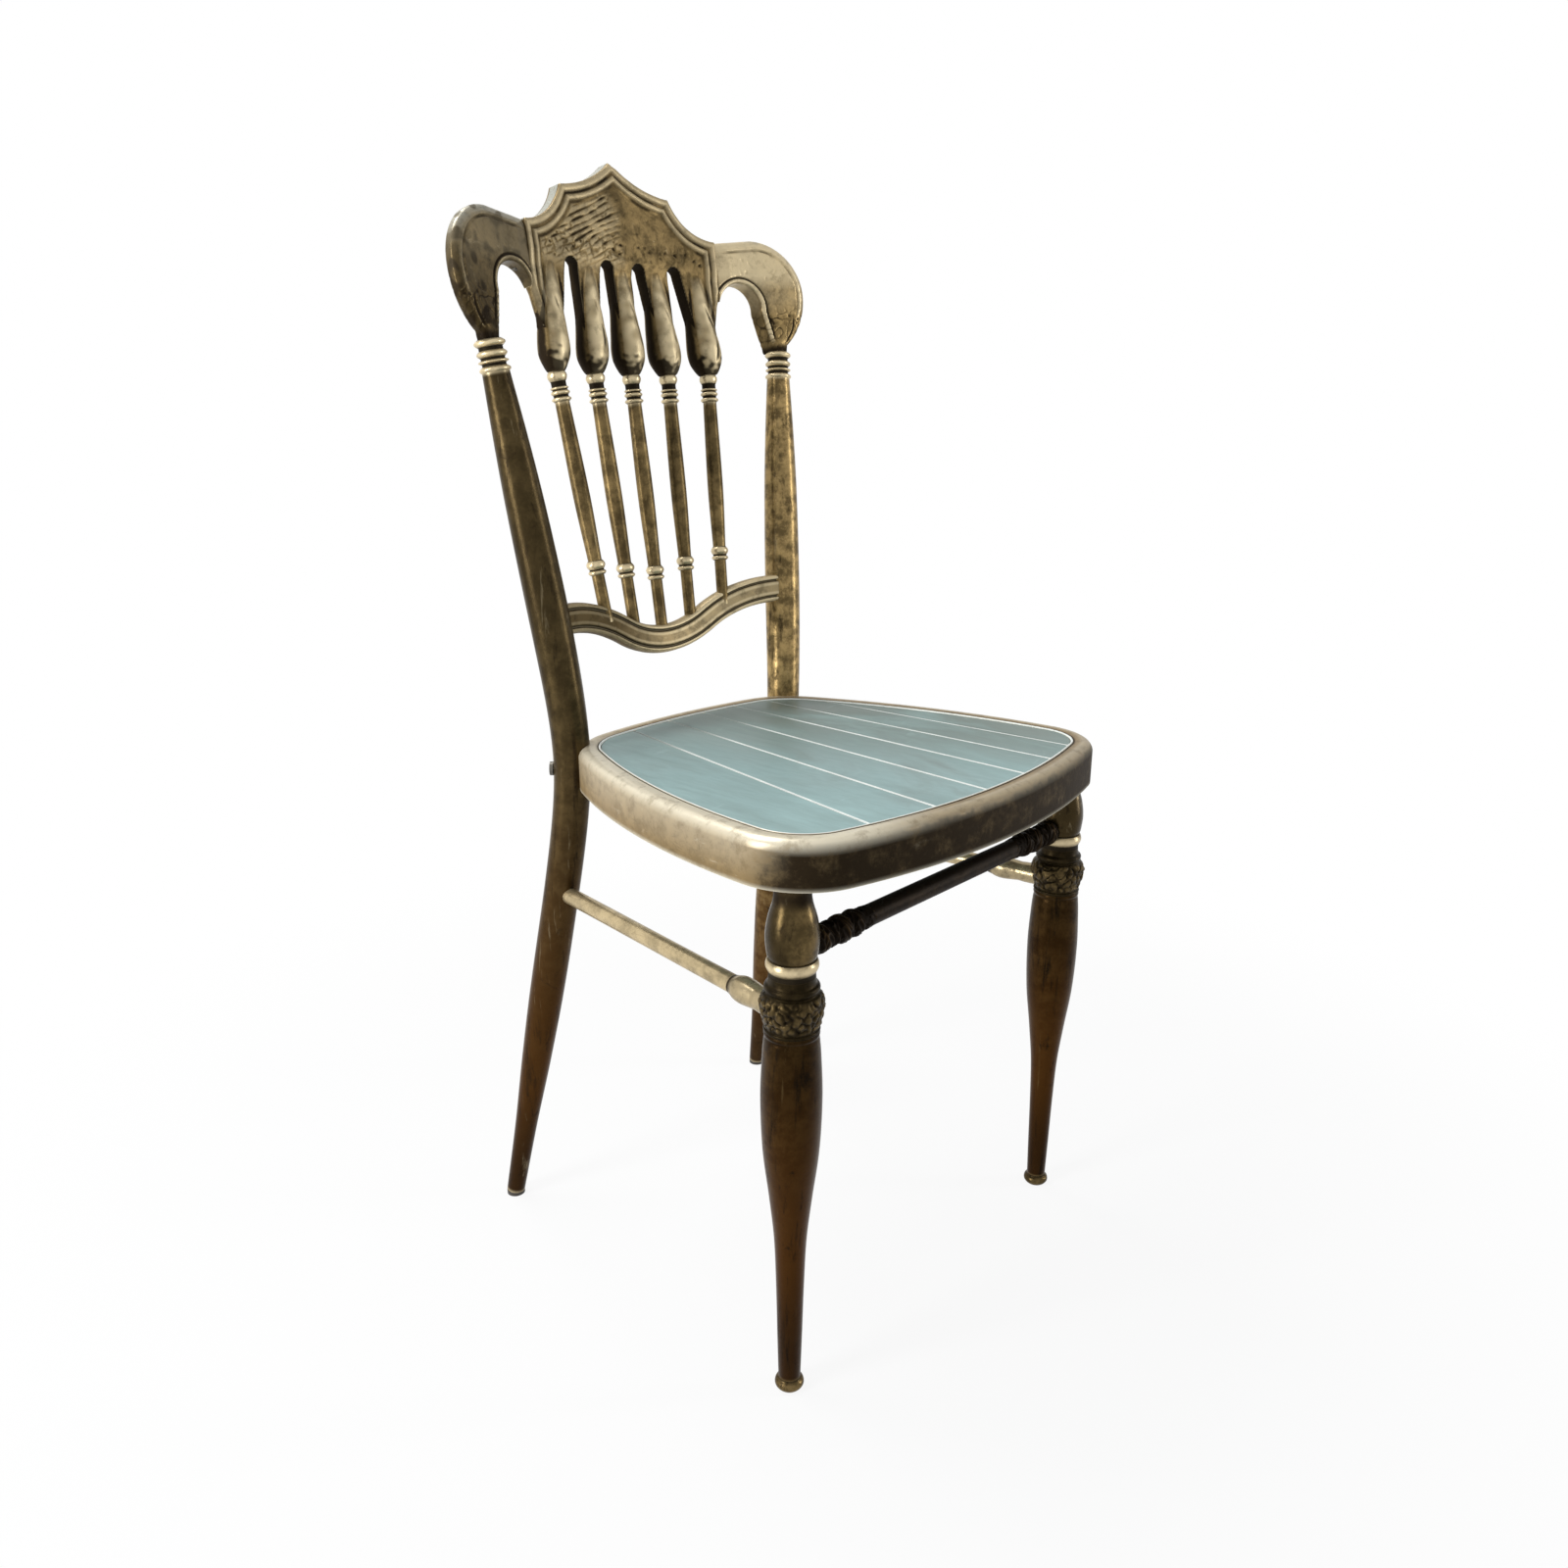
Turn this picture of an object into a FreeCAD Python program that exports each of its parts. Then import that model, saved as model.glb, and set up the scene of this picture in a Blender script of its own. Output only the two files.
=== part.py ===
import FreeCAD, Part
import math
import os
import Sketcher

# The chair faces -Y and is alike on both sides of X = 0; Z = 0 is the floor. All sizes are millimetres.

DIMENSIONS = {
    # Seat ring, seen from above
    "seat_height": 457.0,
    "rim_height": 37.0,
    "seat_front": 227.0,
    "seat_rear": 147.0,
    "seat_half_width": 208.0,
    "seat_widest": 164.0,
    "front_bow_radius": 600.0,
    "rear_bow_radius": 610.0,
    "side_bow_radius": 606.0,
    "front_corner_radius": 62.0,
    "rear_corner_radius": 75.0,
    # Seat ring, section
    "rim_wall": 2.5,
    "rim_width": 19.0,
    "rim_rounding": 9.0,
    "rim_top_thickness": 3.0,
    "ledge_width": 12.0,
    "ledge_thickness": 2.5,
    # Seat slats
    "slat_thickness": 6.0,
    "slat_recess": 1.0,
    "slat_gap": 1.2,
    "slat_edge_gap": 0.6,
    "slat_first_width": 57.4,
    "slat_last_width": 34.4,
    "slat_narrowing": 2.2,
    "slat_first_screw": 27.2,
    "slat_last_screw": 20.4,
    "slat_line_inset": 30.0,
    "slat_fan_side": 92.0,
    "slat_fan_depth": 918.0,
    # Cross bars and screws under the slats
    "bar_width": 24.0,
    "bar_thickness": 4.0,
    "bar_front_inset": 109.0,
    "bar_rear_inset": 85.0,
    "bar_lap": 8.0,
    "screw_radius": 1.7,
    "screw_head_radius": 3.6,
    "screw_head_height": 2.2,
    "screw_bite": 4.0,
    # Clearances
    "fit": 0.15,
    "curve_gap": 0.3,
    # Back posts, centre line
    "post_foot_side": 172.1,
    "post_foot_depth": 197.8,
    "post_side_inset": 72.4,
    "post_rear_inset": 20.6,
    "post_waist_drop": 17.0,
    "post_top_side": 168.2,
    "post_top_forward": 2.8,
    "post_joint_drop": 0.5,
    "post_softness": 62.0,
    # Back posts, section
    "post_wall": 1.6,
    "post_foot_height": 4.0,
    "post_foot_radius": 8.4,
    "post_ankle_height": 80.0,
    "post_ankle_radius": 10.3,
    "post_calf_height": 150.0,
    "post_calf_radius": 13.4,
    "post_knee_height": 225.0,
    "post_knee_radius": 15.4,
    "post_thigh_drop": 127.0,
    "post_thigh_radius": 15.6,
    "post_waist_radius": 15.8,
    "post_belly_rise": 103.0,
    "post_belly_radius": 17.0,
    "post_chest_drop": 132.5,
    "post_chest_radius": 16.0,
    "post_shoulder_drop": 77.5,
    "post_shoulder_radius": 14.0,
    "post_neck_drop": 23.5,
    "post_neck_radius": 11.0,
    "glide_stem": 14.0,
    # Collars on the post tops
    "collar_length": 23.6,
    "collar_ring_radius": 12.6,
    "collar_groove_radius": 9.6,
    "collar_bore_radius": 4.0,
    # Seat to post joint
    "saddle_width": 40.0,
    "saddle_depth": 27.0,
    "saddle_height": 23.0,
    "saddle_turn": 47.0,
    "bolt_radius": 3.0,
    "bolt_drop": 22.0,
    "bolt_head_radius": 6.0,
    "bolt_head_height": 3.0,
    "nut_radius": 5.6,
    "nut_height": 5.0,
    # Back plane that the crest, arches and fingers lie on
    "back_lean": 9.4,
    "back_bow_radius": 558.0,
    "back_depth": 192.7,
    "back_rise": 325.5,
    # Crest
    "crest_thickness": 14.0,
    "crest_peak": 153.5,
    "crest_cusp_side": 61.1,
    "crest_cusp": 128.5,
    "crest_shoulder_side": 108.5,
    "crest_shoulder": 95.0,
    "crest_inner_scallop_radius": 110.0,
    "crest_outer_scallop_radius": 56.0,
    "crest_wing_foot": 42.0,
    "finger_bar_foot": 12.0,
    "slot_half_width": 7.0,
    "slot_arch_height": 66.0,
    "slot_inner_side": 18.0,
    "slot_outer_side": 59.0,
    # Fingers
    "finger_bottom": 23.0,
    "finger_top": 64.0,
    "finger_pitch_inner": 43.3,
    "finger_pitch_outer": 89.8,
    "finger_top_inner": 38.5,
    "finger_top_outer": 84.0,
    "finger_tip_radius": 8.6,
    "finger_bulb_height": 22.0,
    "finger_bulb_radius": 14.8,
    "finger_waist_height": 52.0,
    "finger_waist_radius": 11.6,
    "finger_root_radius": 7.0,
    # Arches between crest and posts
    "arch_thickness": 19.0,
    "arch_hole_side": 130.0,
    "arch_hole_height": 37.0,
    "arch_hole_radius": 22.0,
    "arch_crown_side": 150.0,
    "arch_crown_height": 48.5,
    "arch_crown_radius": 50.0,
    "arch_flank_radius": 60.0,
    "arch_flank_height": 2.0,
    "arch_neck_lift": 0.3,
    "arch_neck_half_width": 8.3,
    "arch_throat_drop": 3.8,
    "dowel_low_height": 58.0,
    "dowel_high_height": 80.0,
    "dowel_radius": 3.0,
    "dowel_length": 24.0,
    # Spindles
    "cap_length": 24.6,
    "cap_ring_radius": 8.4,
    "cap_groove_radius": 6.4,
    "tenon_radius": 3.6,
    "tenon_bite": 10.0,
    "spindle_foot_inner": 35.0,
    "spindle_foot_outer": 72.5,
    "spindle_neck_radius": 6.2,
    "spindle_belly_radius": 7.3,
    "spindle_belly_drop": 105.0,
    "spindle_seat_radius": 6.0,
    "spindle_foot_radius": 5.5,
    "bead_rise_middle": 56.4,
    "bead_rise_inner": 57.1,
    "bead_rise_outer": 48.1,
    "bead_length": 12.5,
    "bead_radius": 8.3,
    # Lower back rail
    "rail_centre_depth": 155.0,
    "rail_lift": 83.0,
    "rail_rise": 31.5,
    "rail_end_inset": 20.5,
    "rail_dip_radius": 92.0,
    "rail_section_height": 26.0,
    "rail_thickness": 14.0,
    "rail_bow_radius": 356.0,
    "rail_reach": 10.0,
    "rail_pin_drop": 10.4,
    "rail_pin_radius": 3.0,
    "rail_pin_length": 24.0,
    # Front legs
    "leg_side_inset": 24.6,
    "leg_front_inset": 58.0,
    "leg_bore_radius": 11.0,
    "crown_length": 55.0,
    "crown_neck_radius": 13.6,
    "crown_bulb_rise": 19.0,
    "crown_bulb_radius": 19.4,
    "crown_hip_rise": 36.0,
    "crown_hip_radius": 16.6,
    "crown_foot_radius": 17.2,
    "ring_length": 13.0,
    "ring_radius": 20.0,
    "ring_edge_radius": 17.4,
    "knot_length": 42.0,
    "knot_lip_rise": 38.0,
    "knot_lip_radius": 19.2,
    "knot_throat_rise": 34.5,
    "knot_throat_radius": 18.0,
    "knot_brow_rise": 30.0,
    "knot_brow_radius": 22.4,
    "knot_leaf_rise": 23.0,
    "knot_leaf_radius": 23.8,
    "knot_waist_rise": 8.0,
    "knot_waist_radius": 21.0,
    "knot_foot_radius": 19.8,
    "knot_bore_radius": 13.5,
    "shaft_wall": 2.2,
    "shaft_top_radius": 20.2,
    "shaft_belly_drop": 54.0,
    "shaft_belly_radius": 22.7,
    "shaft_thigh_sag": 2.0,
    "shaft_thigh_radius": 21.0,
    "shaft_knee_height": 172.0,
    "shaft_knee_radius": 16.2,
    "shaft_calf_height": 136.0,
    "shaft_calf_radius": 12.4,
    "shaft_shin_height": 95.0,
    "shaft_shin_radius": 10.7,
    "shaft_ankle_height": 45.0,
    "shaft_ankle_radius": 9.5,
    "shaft_bottom": 11.0,
    "shaft_tip_radius": 8.6,
    "foot_ball_height": 5.5,
    "foot_ball_radius": 11.4,
    "foot_pad_radius": 7.5,
    "rod_radius": 4.0,
    "rod_bottom": 5.0,
    "rod_cover": 6.5,
    # Leg brackets in the front corners of the ring
    "boss_radius": 15.2,
    "bracket_side_reach": 90.0,
    "bracket_front_reach": 91.0,
    "bracket_thickness": 4.0,
    # Side stretchers
    "side_stretcher_rise": 10.0,
    "side_tube_radius": 7.3,
    "side_tube_wall": 1.5,
    "side_tube_bite": 6.0,
    "ferrule_length": 46.0,
    "ferrule_base_radius": 9.6,
    "ferrule_bulge_radius": 10.4,
    "ferrule_bulge_place": 30.0,
    # Front stretcher
    "front_stretcher_rise": 5.5,
    "front_tube_radius": 8.3,
    "front_tube_wall": 1.6,
    "front_tenon_radius": 5.0,
    "front_tenon_bite": 6.0,
    "knuckle_length": 66.0,
    "knuckle_ring_radius": 11.2,
    "knuckle_groove_radius": 9.9,
}

SLAT_COUNT = 7
SPINDLE_COUNT = 5
FACES = 7


class Size:
    """A number kept together with the spreadsheet formula that it comes from."""

    def __init__(self, number, formula):
        self.number = number
        self.formula = formula

    def __add__(self, other):
        other = as_size(other)
        return Size(self.number + other.number, f"({self.formula} + {other.formula})")

    def __sub__(self, other):
        other = as_size(other)
        return Size(self.number - other.number, f"({self.formula} - {other.formula})")

    def __mul__(self, other):
        other = as_size(other)
        return Size(self.number * other.number, f"({self.formula} * {other.formula})")

    def __truediv__(self, other):
        other = as_size(other)
        return Size(self.number / other.number, f"({self.formula} / {other.formula})")

    def __neg__(self):
        return Size(-self.number, f"(0 - {self.formula})")


def as_size(value):
    """Turn a plain number into a Size."""
    if isinstance(value, Size):
        return value
    return Size(float(value), f"({value:.6f})")


def root(value):
    """Square root of a Size."""
    return Size(math.sqrt(value.number), f"sqrt({value.formula})")


def hypotenuse(one, two):
    """Long side of a right triangle."""
    return root(one * one + two * two)


doc = FreeCAD.newDocument("BistroChair")


def make_sheet():
    """Put the driving dimensions in the spreadsheet and return them as Sizes."""
    sheet = doc.addObject("Spreadsheet::Sheet", "Dims")
    sizes = {}
    for row, (alias, number) in enumerate(DIMENSIONS.items(), start=1):
        sheet.set(f"A{row}", alias.replace("_", " "))
        sheet.set(f"B{row}", str(number))
        sheet.setAlias(f"B{row}", alias)
        sizes[alias] = Size(number, f"Dims.{alias}")
    doc.recompute()
    return sizes


dim = make_sheet()
zero = as_size(0.0)


def cosine(alias):
    """Cosine of one of the angles."""
    return Size(math.cos(math.radians(DIMENSIONS[alias])), f"cos(Dims.{alias} * 1deg)")


def sine(alias):
    """Sine of one of the angles."""
    return Size(math.sin(math.radians(DIMENSIONS[alias])), f"sin(Dims.{alias} * 1deg)")


def bow_depth(side, radius):
    """How far the bowed surface lies in front of its middle."""
    return root(radius * radius - side * side) - radius


lean_sin = sine("back_lean")
lean_cos = cosine("back_lean")
seat_bolt_sin = sine("saddle_turn")
seat_bolt_cos = cosine("saddle_turn")


def add_heights():
    """Heights that follow from the seat, the back and the stacked leg pieces."""
    seat = dim["seat_height"]
    dim["back_height"] = seat + dim["back_rise"]
    dim["rail_centre_height"] = seat + dim["rail_lift"]
    dim["bolt_height"] = seat - dim["bolt_drop"]
    dim["post_waist_height"] = seat - dim["post_waist_drop"]
    dim["post_thigh_height"] = seat - dim["post_thigh_drop"]
    dim["post_belly_height"] = seat + dim["post_belly_rise"]
    for name in ("joint", "neck", "shoulder", "chest"):
        dim[f"post_{name}_height"] = dim["back_height"] - dim[f"post_{name}_drop"]
    dim["crown_bottom"] = seat - dim["rim_height"] - dim["crown_length"]
    for name in ("bulb", "hip"):
        dim[f"crown_{name}_height"] = dim["crown_bottom"] + dim[f"crown_{name}_rise"]
    dim["ring_bottom"] = dim["crown_bottom"] - dim["ring_length"]
    dim["knot_bottom"] = dim["ring_bottom"] - dim["knot_length"]
    for name in ("waist", "leaf", "brow", "throat", "lip"):
        dim[f"knot_{name}_height"] = dim["knot_bottom"] + dim[f"knot_{name}_rise"]
    dim["shaft_belly_height"] = dim["knot_bottom"] - dim["shaft_belly_drop"]
    middle = (dim["shaft_belly_height"] + dim["shaft_knee_height"]) / 2
    dim["shaft_thigh_height"] = middle - dim["shaft_thigh_sag"]
    dim["side_stretcher_height"] = dim["knot_bottom"] + dim["side_stretcher_rise"]
    dim["front_stretcher_height"] = dim["crown_bottom"] + dim["front_stretcher_rise"]


def add_places():
    """Places in plan that follow from the seat's outline and the back."""
    side = dim["seat_half_width"]
    dim["leg_side"] = side - dim["leg_side_inset"]
    dim["leg_depth"] = dim["seat_front"] - dim["leg_front_inset"]
    dim["post_waist_side"] = side - dim["post_side_inset"]
    dim["post_waist_depth"] = dim["seat_rear"] - dim["post_rear_inset"]
    back = bow_depth(dim["post_top_side"], dim["back_bow_radius"])
    dim["post_top_depth"] = dim["back_depth"] + back * lean_cos - dim["post_top_forward"]
    dim["bracket_inner_side"] = side - dim["bracket_side_reach"]
    dim["bracket_inner_depth"] = dim["seat_front"] - dim["bracket_front_reach"]
    dim["slat_line_depth"] = dim["seat_front"] - dim["slat_line_inset"]
    panel = side - dim["rim_width"] - dim["slat_edge_gap"]
    gaps = SLAT_COUNT - 2
    spread = panel * 2 - dim["slat_first_width"] - dim["slat_last_width"]
    dim["slat_first_line"] = panel - dim["slat_first_width"]
    dim["slat_pitch"] = (spread + dim["slat_narrowing"] * (gaps * gaps)) / gaps


add_heights()
add_places()


def bind(thing, prop, value):
    """Bind one property of an object to a Size."""
    thing.setExpression(prop, as_size(value).formula)


def put(thing, at, lean=None, flat=False):
    """Place an object; lean turns its Z axis to the direction (x, y, 1), or (x, y, 0) if flat."""
    x, y, z = (as_size(value).formula for value in at)
    if lean is None:
        turn = "rotation(vector(0; 0; 1); 0)"
    else:
        side, depth = (as_size(value) for value in lean)
        angle = "90" if flat else f"atan({hypotenuse(side, depth).formula})"
        turn = f"rotation(vector({(-depth).formula}; {side.formula}; 0); {angle})"
    thing.setExpression("Placement", f"placement(vector({x}; {y}; {z}); {turn})")
    return thing


def put_turned(thing, at, axis, degrees):
    """Place an object and turn it about one axis."""
    x, y, z = (as_size(value).formula for value in at)
    turn = f"rotation(vector({axis}); {as_size(degrees).formula})"
    thing.setExpression("Placement", f"placement(vector({x}; {y}; {z}); {turn})")
    return thing


def circle(name, radius, at, lean=None):
    """A circle that serves as one section of a loft."""
    section = doc.addObject("Part::Circle", name)
    bind(section, "Radius", radius)
    return put(section, at, lean)


def loft(name, sections, ruled=False):
    """A solid through circles."""
    body = doc.addObject("Part::Loft", name)
    body.Sections = sections
    body.Solid = True
    body.Ruled = ruled
    return body


def turned(name, stations, ruled=False):
    """A turned solid along Z through (height, radius) stations."""
    sections = []
    for number, (height, radius) in enumerate(stations):
        sections.append(circle(f"{name}_section_{number}", radius, (zero, zero, height)))
    return loft(name, sections, ruled)


def bead(low, high, edge_radius, crown_radius):
    """Stations of one rounded bead between two heights."""
    stations = []
    for step in range(FACES):
        share = step / (FACES - 1)
        swell = math.sin(math.pi * share)
        height = low + (high - low) * share
        stations.append((height, edge_radius + (crown_radius - edge_radius) * swell))
    return stations


def rod(name, radius, length, at, lean=None, flat=False):
    """A cylinder from a point along a direction."""
    body = doc.addObject("Part::Cylinder", name)
    bind(body, "Radius", radius)
    bind(body, "Height", length)
    return put(body, at, lean, flat)


def box(name, length, width, height, at):
    """A box from its low corner."""
    body = doc.addObject("Part::Box", name)
    bind(body, "Length", length)
    bind(body, "Width", width)
    bind(body, "Height", height)
    return put(body, at)


def cut(name, base, *tools):
    """Base without the tools."""
    for number, tool in enumerate(tools):
        last = number == len(tools) - 1
        result = doc.addObject("Part::Cut", name if last else f"{name}_step_{number}")
        result.Base = base
        result.Tool = tool
        base = result
    return base


def fuse(name, *shapes):
    """One solid made of several."""
    result = doc.addObject("Part::MultiFuse", name)
    result.Shapes = list(shapes)
    return result


def common(name, base, tool):
    """What two solids share."""
    result = doc.addObject("Part::Common", name)
    result.Base = base
    result.Tool = tool
    return result


def group(name, *shapes):
    """Separate solids under one name."""
    result = doc.addObject("Part::Compound", name)
    result.Links = list(shapes)
    return result


def mirrored(name, source):
    """The same piece on the other side of the chair."""
    result = doc.addObject("Part::Mirroring", name)
    result.Source = source
    result.Base = FreeCAD.Vector(0, 0, 0)
    result.Normal = FreeCAD.Vector(1, 0, 0)
    return result


# Sketches


def pin_point(sketch, edge, end, x, y):
    """Hold one sketch point at a place given by two Sizes."""
    for kind, axis, value in (("DistanceX", -2, x), ("DistanceY", -1, y)):
        if value.formula == zero.formula:
            sketch.addConstraint(Sketcher.Constraint("PointOnObject", edge, end, axis))
        else:
            index = sketch.addConstraint(Sketcher.Constraint(kind, -1, 1, edge, end, value.number))
            sketch.setExpression(f"Constraints[{index}]", value.formula)


def hold_radius(sketch, edge, radius):
    """Hold the radius of a sketch arc."""
    index = sketch.addConstraint(Sketcher.Constraint("Radius", edge, radius.number))
    sketch.setExpression(f"Constraints[{index}]", radius.formula)


def arc_between(start, end, radius, side):
    """Arc from start to end; side +1 has its centre on the left of the way from start to end."""
    chord = end - start
    half = chord.Length / 2.0
    left = FreeCAD.Vector(-chord.y, chord.x, 0).normalize()
    centre = (start + end) * 0.5 + left * side * math.sqrt(radius ** 2 - half ** 2)
    first, last = (start, end) if side > 0 else (end, start)
    low = math.atan2(first.y - centre.y, first.x - centre.x)
    high = math.atan2(last.y - centre.y, last.x - centre.x)
    if high < low:
        high += 2.0 * math.pi
    return Part.ArcOfCircle(Part.Circle(centre, FreeCAD.Vector(0, 0, 1), radius), low, high)


def outline(name, corners):
    """Closed sketch; each corner is (x, y) or (x, y, radius, side) for an arc to the next corner."""
    sketch = doc.addObject("Sketcher::SketchObject", name)
    count = len(corners)
    ends = []
    for number, corner in enumerate(corners):
        start = FreeCAD.Vector(corner[0].number, corner[1].number, 0)
        after = corners[(number + 1) % count]
        end = FreeCAD.Vector(after[0].number, after[1].number, 0)
        if len(corner) == 2:
            sketch.addGeometry(Part.LineSegment(start, end), False)
            ends.append((1, 2))
        else:
            sketch.addGeometry(arc_between(start, end, corner[2].number, corner[3]), False)
            ends.append((1, 2) if corner[3] > 0 else (2, 1))
    for number, corner in enumerate(corners):
        after = (number + 1) % count
        sketch.addConstraint(
            Sketcher.Constraint("Coincident", number, ends[number][1], after, ends[after][0])
        )
        pin_point(sketch, number, ends[number][0], corner[0], corner[1])
        if len(corner) > 2:
            hold_radius(sketch, number, corner[2])
    return sketch


def extrude(name, sketch, direction, forward, backward=None):
    """Solid pulled out of a sketch."""
    body = doc.addObject("Part::Extrusion", name)
    body.Base = sketch
    body.DirMode = "Custom"
    body.Dir = direction
    body.Solid = True
    bind(body, "LengthFwd", forward)
    if backward is not None:
        bind(body, "LengthRev", backward)
    return body


def upright_plate(name, corners, thickness):
    """Plate whose outline stands in the XZ plane, centred on it."""
    sketch = outline(f"{name}_outline", corners)
    put_turned(sketch, (zero, zero, zero), "1; 0; 0", 90)
    return extrude(name, sketch, FreeCAD.Vector(0, 1, 0), thickness / 2, thickness / 2)


# Seat


def meeting(centre_one, radius_one, centre_two, radius_two, near):
    """The one of two circle crossings that lies nearer a point."""
    apart = centre_two - centre_one
    along = (apart.Length ** 2 + radius_one ** 2 - radius_two ** 2) / (2.0 * apart.Length)
    across = math.sqrt(radius_one ** 2 - along ** 2)
    foot = centre_one + apart * (along / apart.Length)
    left = FreeCAD.Vector(-apart.y, apart.x, 0).normalize()
    one = foot + left * across
    two = foot - left * across
    return one if (one - near).Length < (two - near).Length else two


def seat_loop(sketch, inset):
    """Add the seat's rounded outline, drawn in by an inset, to a sketch."""
    first = sketch.GeometryCount
    front_centre = -dim["seat_front"] + dim["front_bow_radius"]
    rear_centre = dim["seat_rear"] - dim["rear_bow_radius"]
    side_centre = dim["seat_half_width"] - dim["side_bow_radius"]
    side_place = -dim["seat_widest"]
    front = FreeCAD.Vector(0, front_centre.number, 0)
    rear = FreeCAD.Vector(0, rear_centre.number, 0)
    left = FreeCAD.Vector(side_centre.number, side_place.number, 0)
    right = FreeCAD.Vector(-side_centre.number, side_place.number, 0)
    front_radius = dim["front_bow_radius"] - inset
    rear_radius = dim["rear_bow_radius"] - inset
    side_radius = dim["side_bow_radius"] - inset
    front_corner = dim["front_corner_radius"] - inset
    rear_corner = dim["rear_corner_radius"] - inset
    bends = {}
    for key, centre, big, small, way in (
        ("front", front, "front_bow_radius", "front_corner_radius", -1),
        ("rear", rear, "rear_bow_radius", "rear_corner_radius", 1),
    ):
        reach = DIMENSIONS[big] - DIMENSIONS[small]
        side_reach = DIMENSIONS["side_bow_radius"] - DIMENSIONS[small]
        near = FreeCAD.Vector(DIMENSIONS["seat_half_width"], way * DIMENSIONS["seat_rear"], 0)
        found = meeting(centre, reach, left, side_reach, near)
        bends[key, 1] = found
        bends[key, -1] = FreeCAD.Vector(-found.x, found.y, 0)
    circles = [
        (front, front_radius),
        (bends["front", 1], front_corner),
        (left, side_radius),
        (bends["rear", 1], rear_corner),
        (rear, rear_radius),
        (bends["rear", -1], rear_corner),
        (right, side_radius),
        (bends["front", -1], front_corner),
    ]
    count = len(circles)
    turns = []
    for number, (centre, radius) in enumerate(circles):
        nearby = circles[(number + 1) % count][0]
        small_is_next = radius.number > circles[(number + 1) % count][1].number
        way = nearby - centre if small_is_next else centre - nearby
        turns.append(math.atan2(way.y, way.x))
    for number, (centre, radius) in enumerate(circles):
        low = turns[number - 1]
        high = turns[number]
        while high < low:
            high += 2.0 * math.pi
        ring = Part.Circle(centre, FreeCAD.Vector(0, 0, 1), radius.number)
        sketch.addGeometry(Part.ArcOfCircle(ring, low, high), False)
    for number, (centre, radius) in enumerate(circles):
        here = first + number
        after = first + (number + 1) % count
        sketch.addConstraint(Sketcher.Constraint("Tangent", here, 2, after, 1))
        hold_radius(sketch, here, radius)
    pin_point(sketch, first, 3, zero, front_centre)
    pin_point(sketch, first + 4, 3, zero, rear_centre)
    pin_point(sketch, first + 2, 3, side_centre, side_place)
    pin_point(sketch, first + 6, 3, -side_centre, side_place)


def seat_core(name, inset, low, high):
    """Plate with the seat's outline, drawn in by an inset, between two heights."""
    sketch = doc.addObject("Sketcher::SketchObject", f"{name}_outline")
    seat_loop(sketch, inset)
    put(sketch, (zero, zero, low))
    return extrude(name, sketch, FreeCAD.Vector(0, 0, 1), high - low)


def body_sketch(body, name, height, insets):
    """Sketch on the body's ground plane, raised to a height, with seat loops."""
    planes = [item for item in body.Origin.OriginFeatures if item.Role == "XY_Plane"]
    sketch = body.newObject("Sketcher::SketchObject", name)
    sketch.AttachmentSupport = [(planes[0], "")]
    sketch.MapMode = "FlatFace"
    bind(sketch, "AttachmentOffset.Base.z", height)
    for inset in insets:
        seat_loop(sketch, inset)
    return sketch


def pocket(body, name, sketch, depth, upward):
    """Pocket of a given depth, upward or downward from its sketch."""
    feature = body.newObject("PartDesign::Pocket", name)
    feature.Profile = sketch
    feature.Type = "Length"
    feature.Reversed = upward
    bind(feature, "Length", depth)
    body.Tip = feature
    return feature


seat_under = dim["seat_height"] - dim["rim_height"]
slat_top = dim["seat_height"] - dim["slat_recess"]
slat_under = slat_top - dim["slat_thickness"]
ledge_under = slat_under - dim["ledge_thickness"]
rod_top = ledge_under - dim["rod_cover"]
rim_inner = dim["rim_width"]
ledge_inner = rim_inner + dim["ledge_width"]
hollow_rim_inset = dim["rim_wall"] + dim["rim_width"] * 0.2
hollow_rim_end = rim_inner - dim["ledge_thickness"]
hollow_rim_top = dim["seat_height"] - dim["rim_top_thickness"]


def make_seat_ring():
    """The seat's pressed ring: wall, rolled edge, top flange and slat ledge."""
    body = doc.addObject("PartDesign::Body", "SeatRing")
    base = body_sketch(body, "RingOutline", seat_under, [zero])
    pad = body.newObject("PartDesign::Pad", "RingPad")
    pad.Profile = base
    bind(pad, "Length", dim["rim_height"])
    body.Tip = pad
    doc.recompute()
    top_edges = []
    for number, edge in enumerate(pad.Shape.Edges, start=1):
        if edge.BoundBox.ZMin > dim["seat_height"].number - 0.01:
            top_edges.append(f"Edge{number}")
    rounding = body.newObject("PartDesign::Fillet", "RolledEdge")
    rounding.Base = (pad, top_edges)
    bind(rounding, "Radius", dim["rim_rounding"])
    body.Tip = rounding
    doc.recompute()
    panel = body_sketch(body, "PanelOutline", dim["seat_height"], [rim_inner])
    pocket(body, "PanelRecess", panel, dim["seat_height"] - slat_under, False)
    opening = body_sketch(body, "OpeningOutline", dim["seat_height"], [ledge_inner])
    pocket(body, "Opening", opening, dim["rim_height"], False)
    hollow = body_sketch(body, "HollowOutline", seat_under, [dim["rim_wall"]])
    pocket(body, "Hollow", hollow, ledge_under - seat_under, True)
    gutter = body_sketch(body, "GutterOutline", ledge_under, [hollow_rim_inset, hollow_rim_end])
    pocket(body, "Gutter", gutter, hollow_rim_top - ledge_under, True)
    return body


def slat_line(number):
    """Front crossing of one gap between slats."""
    return -dim["slat_first_line"] + dim["slat_pitch"] * number - dim["slat_narrowing"] * number * number


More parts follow.
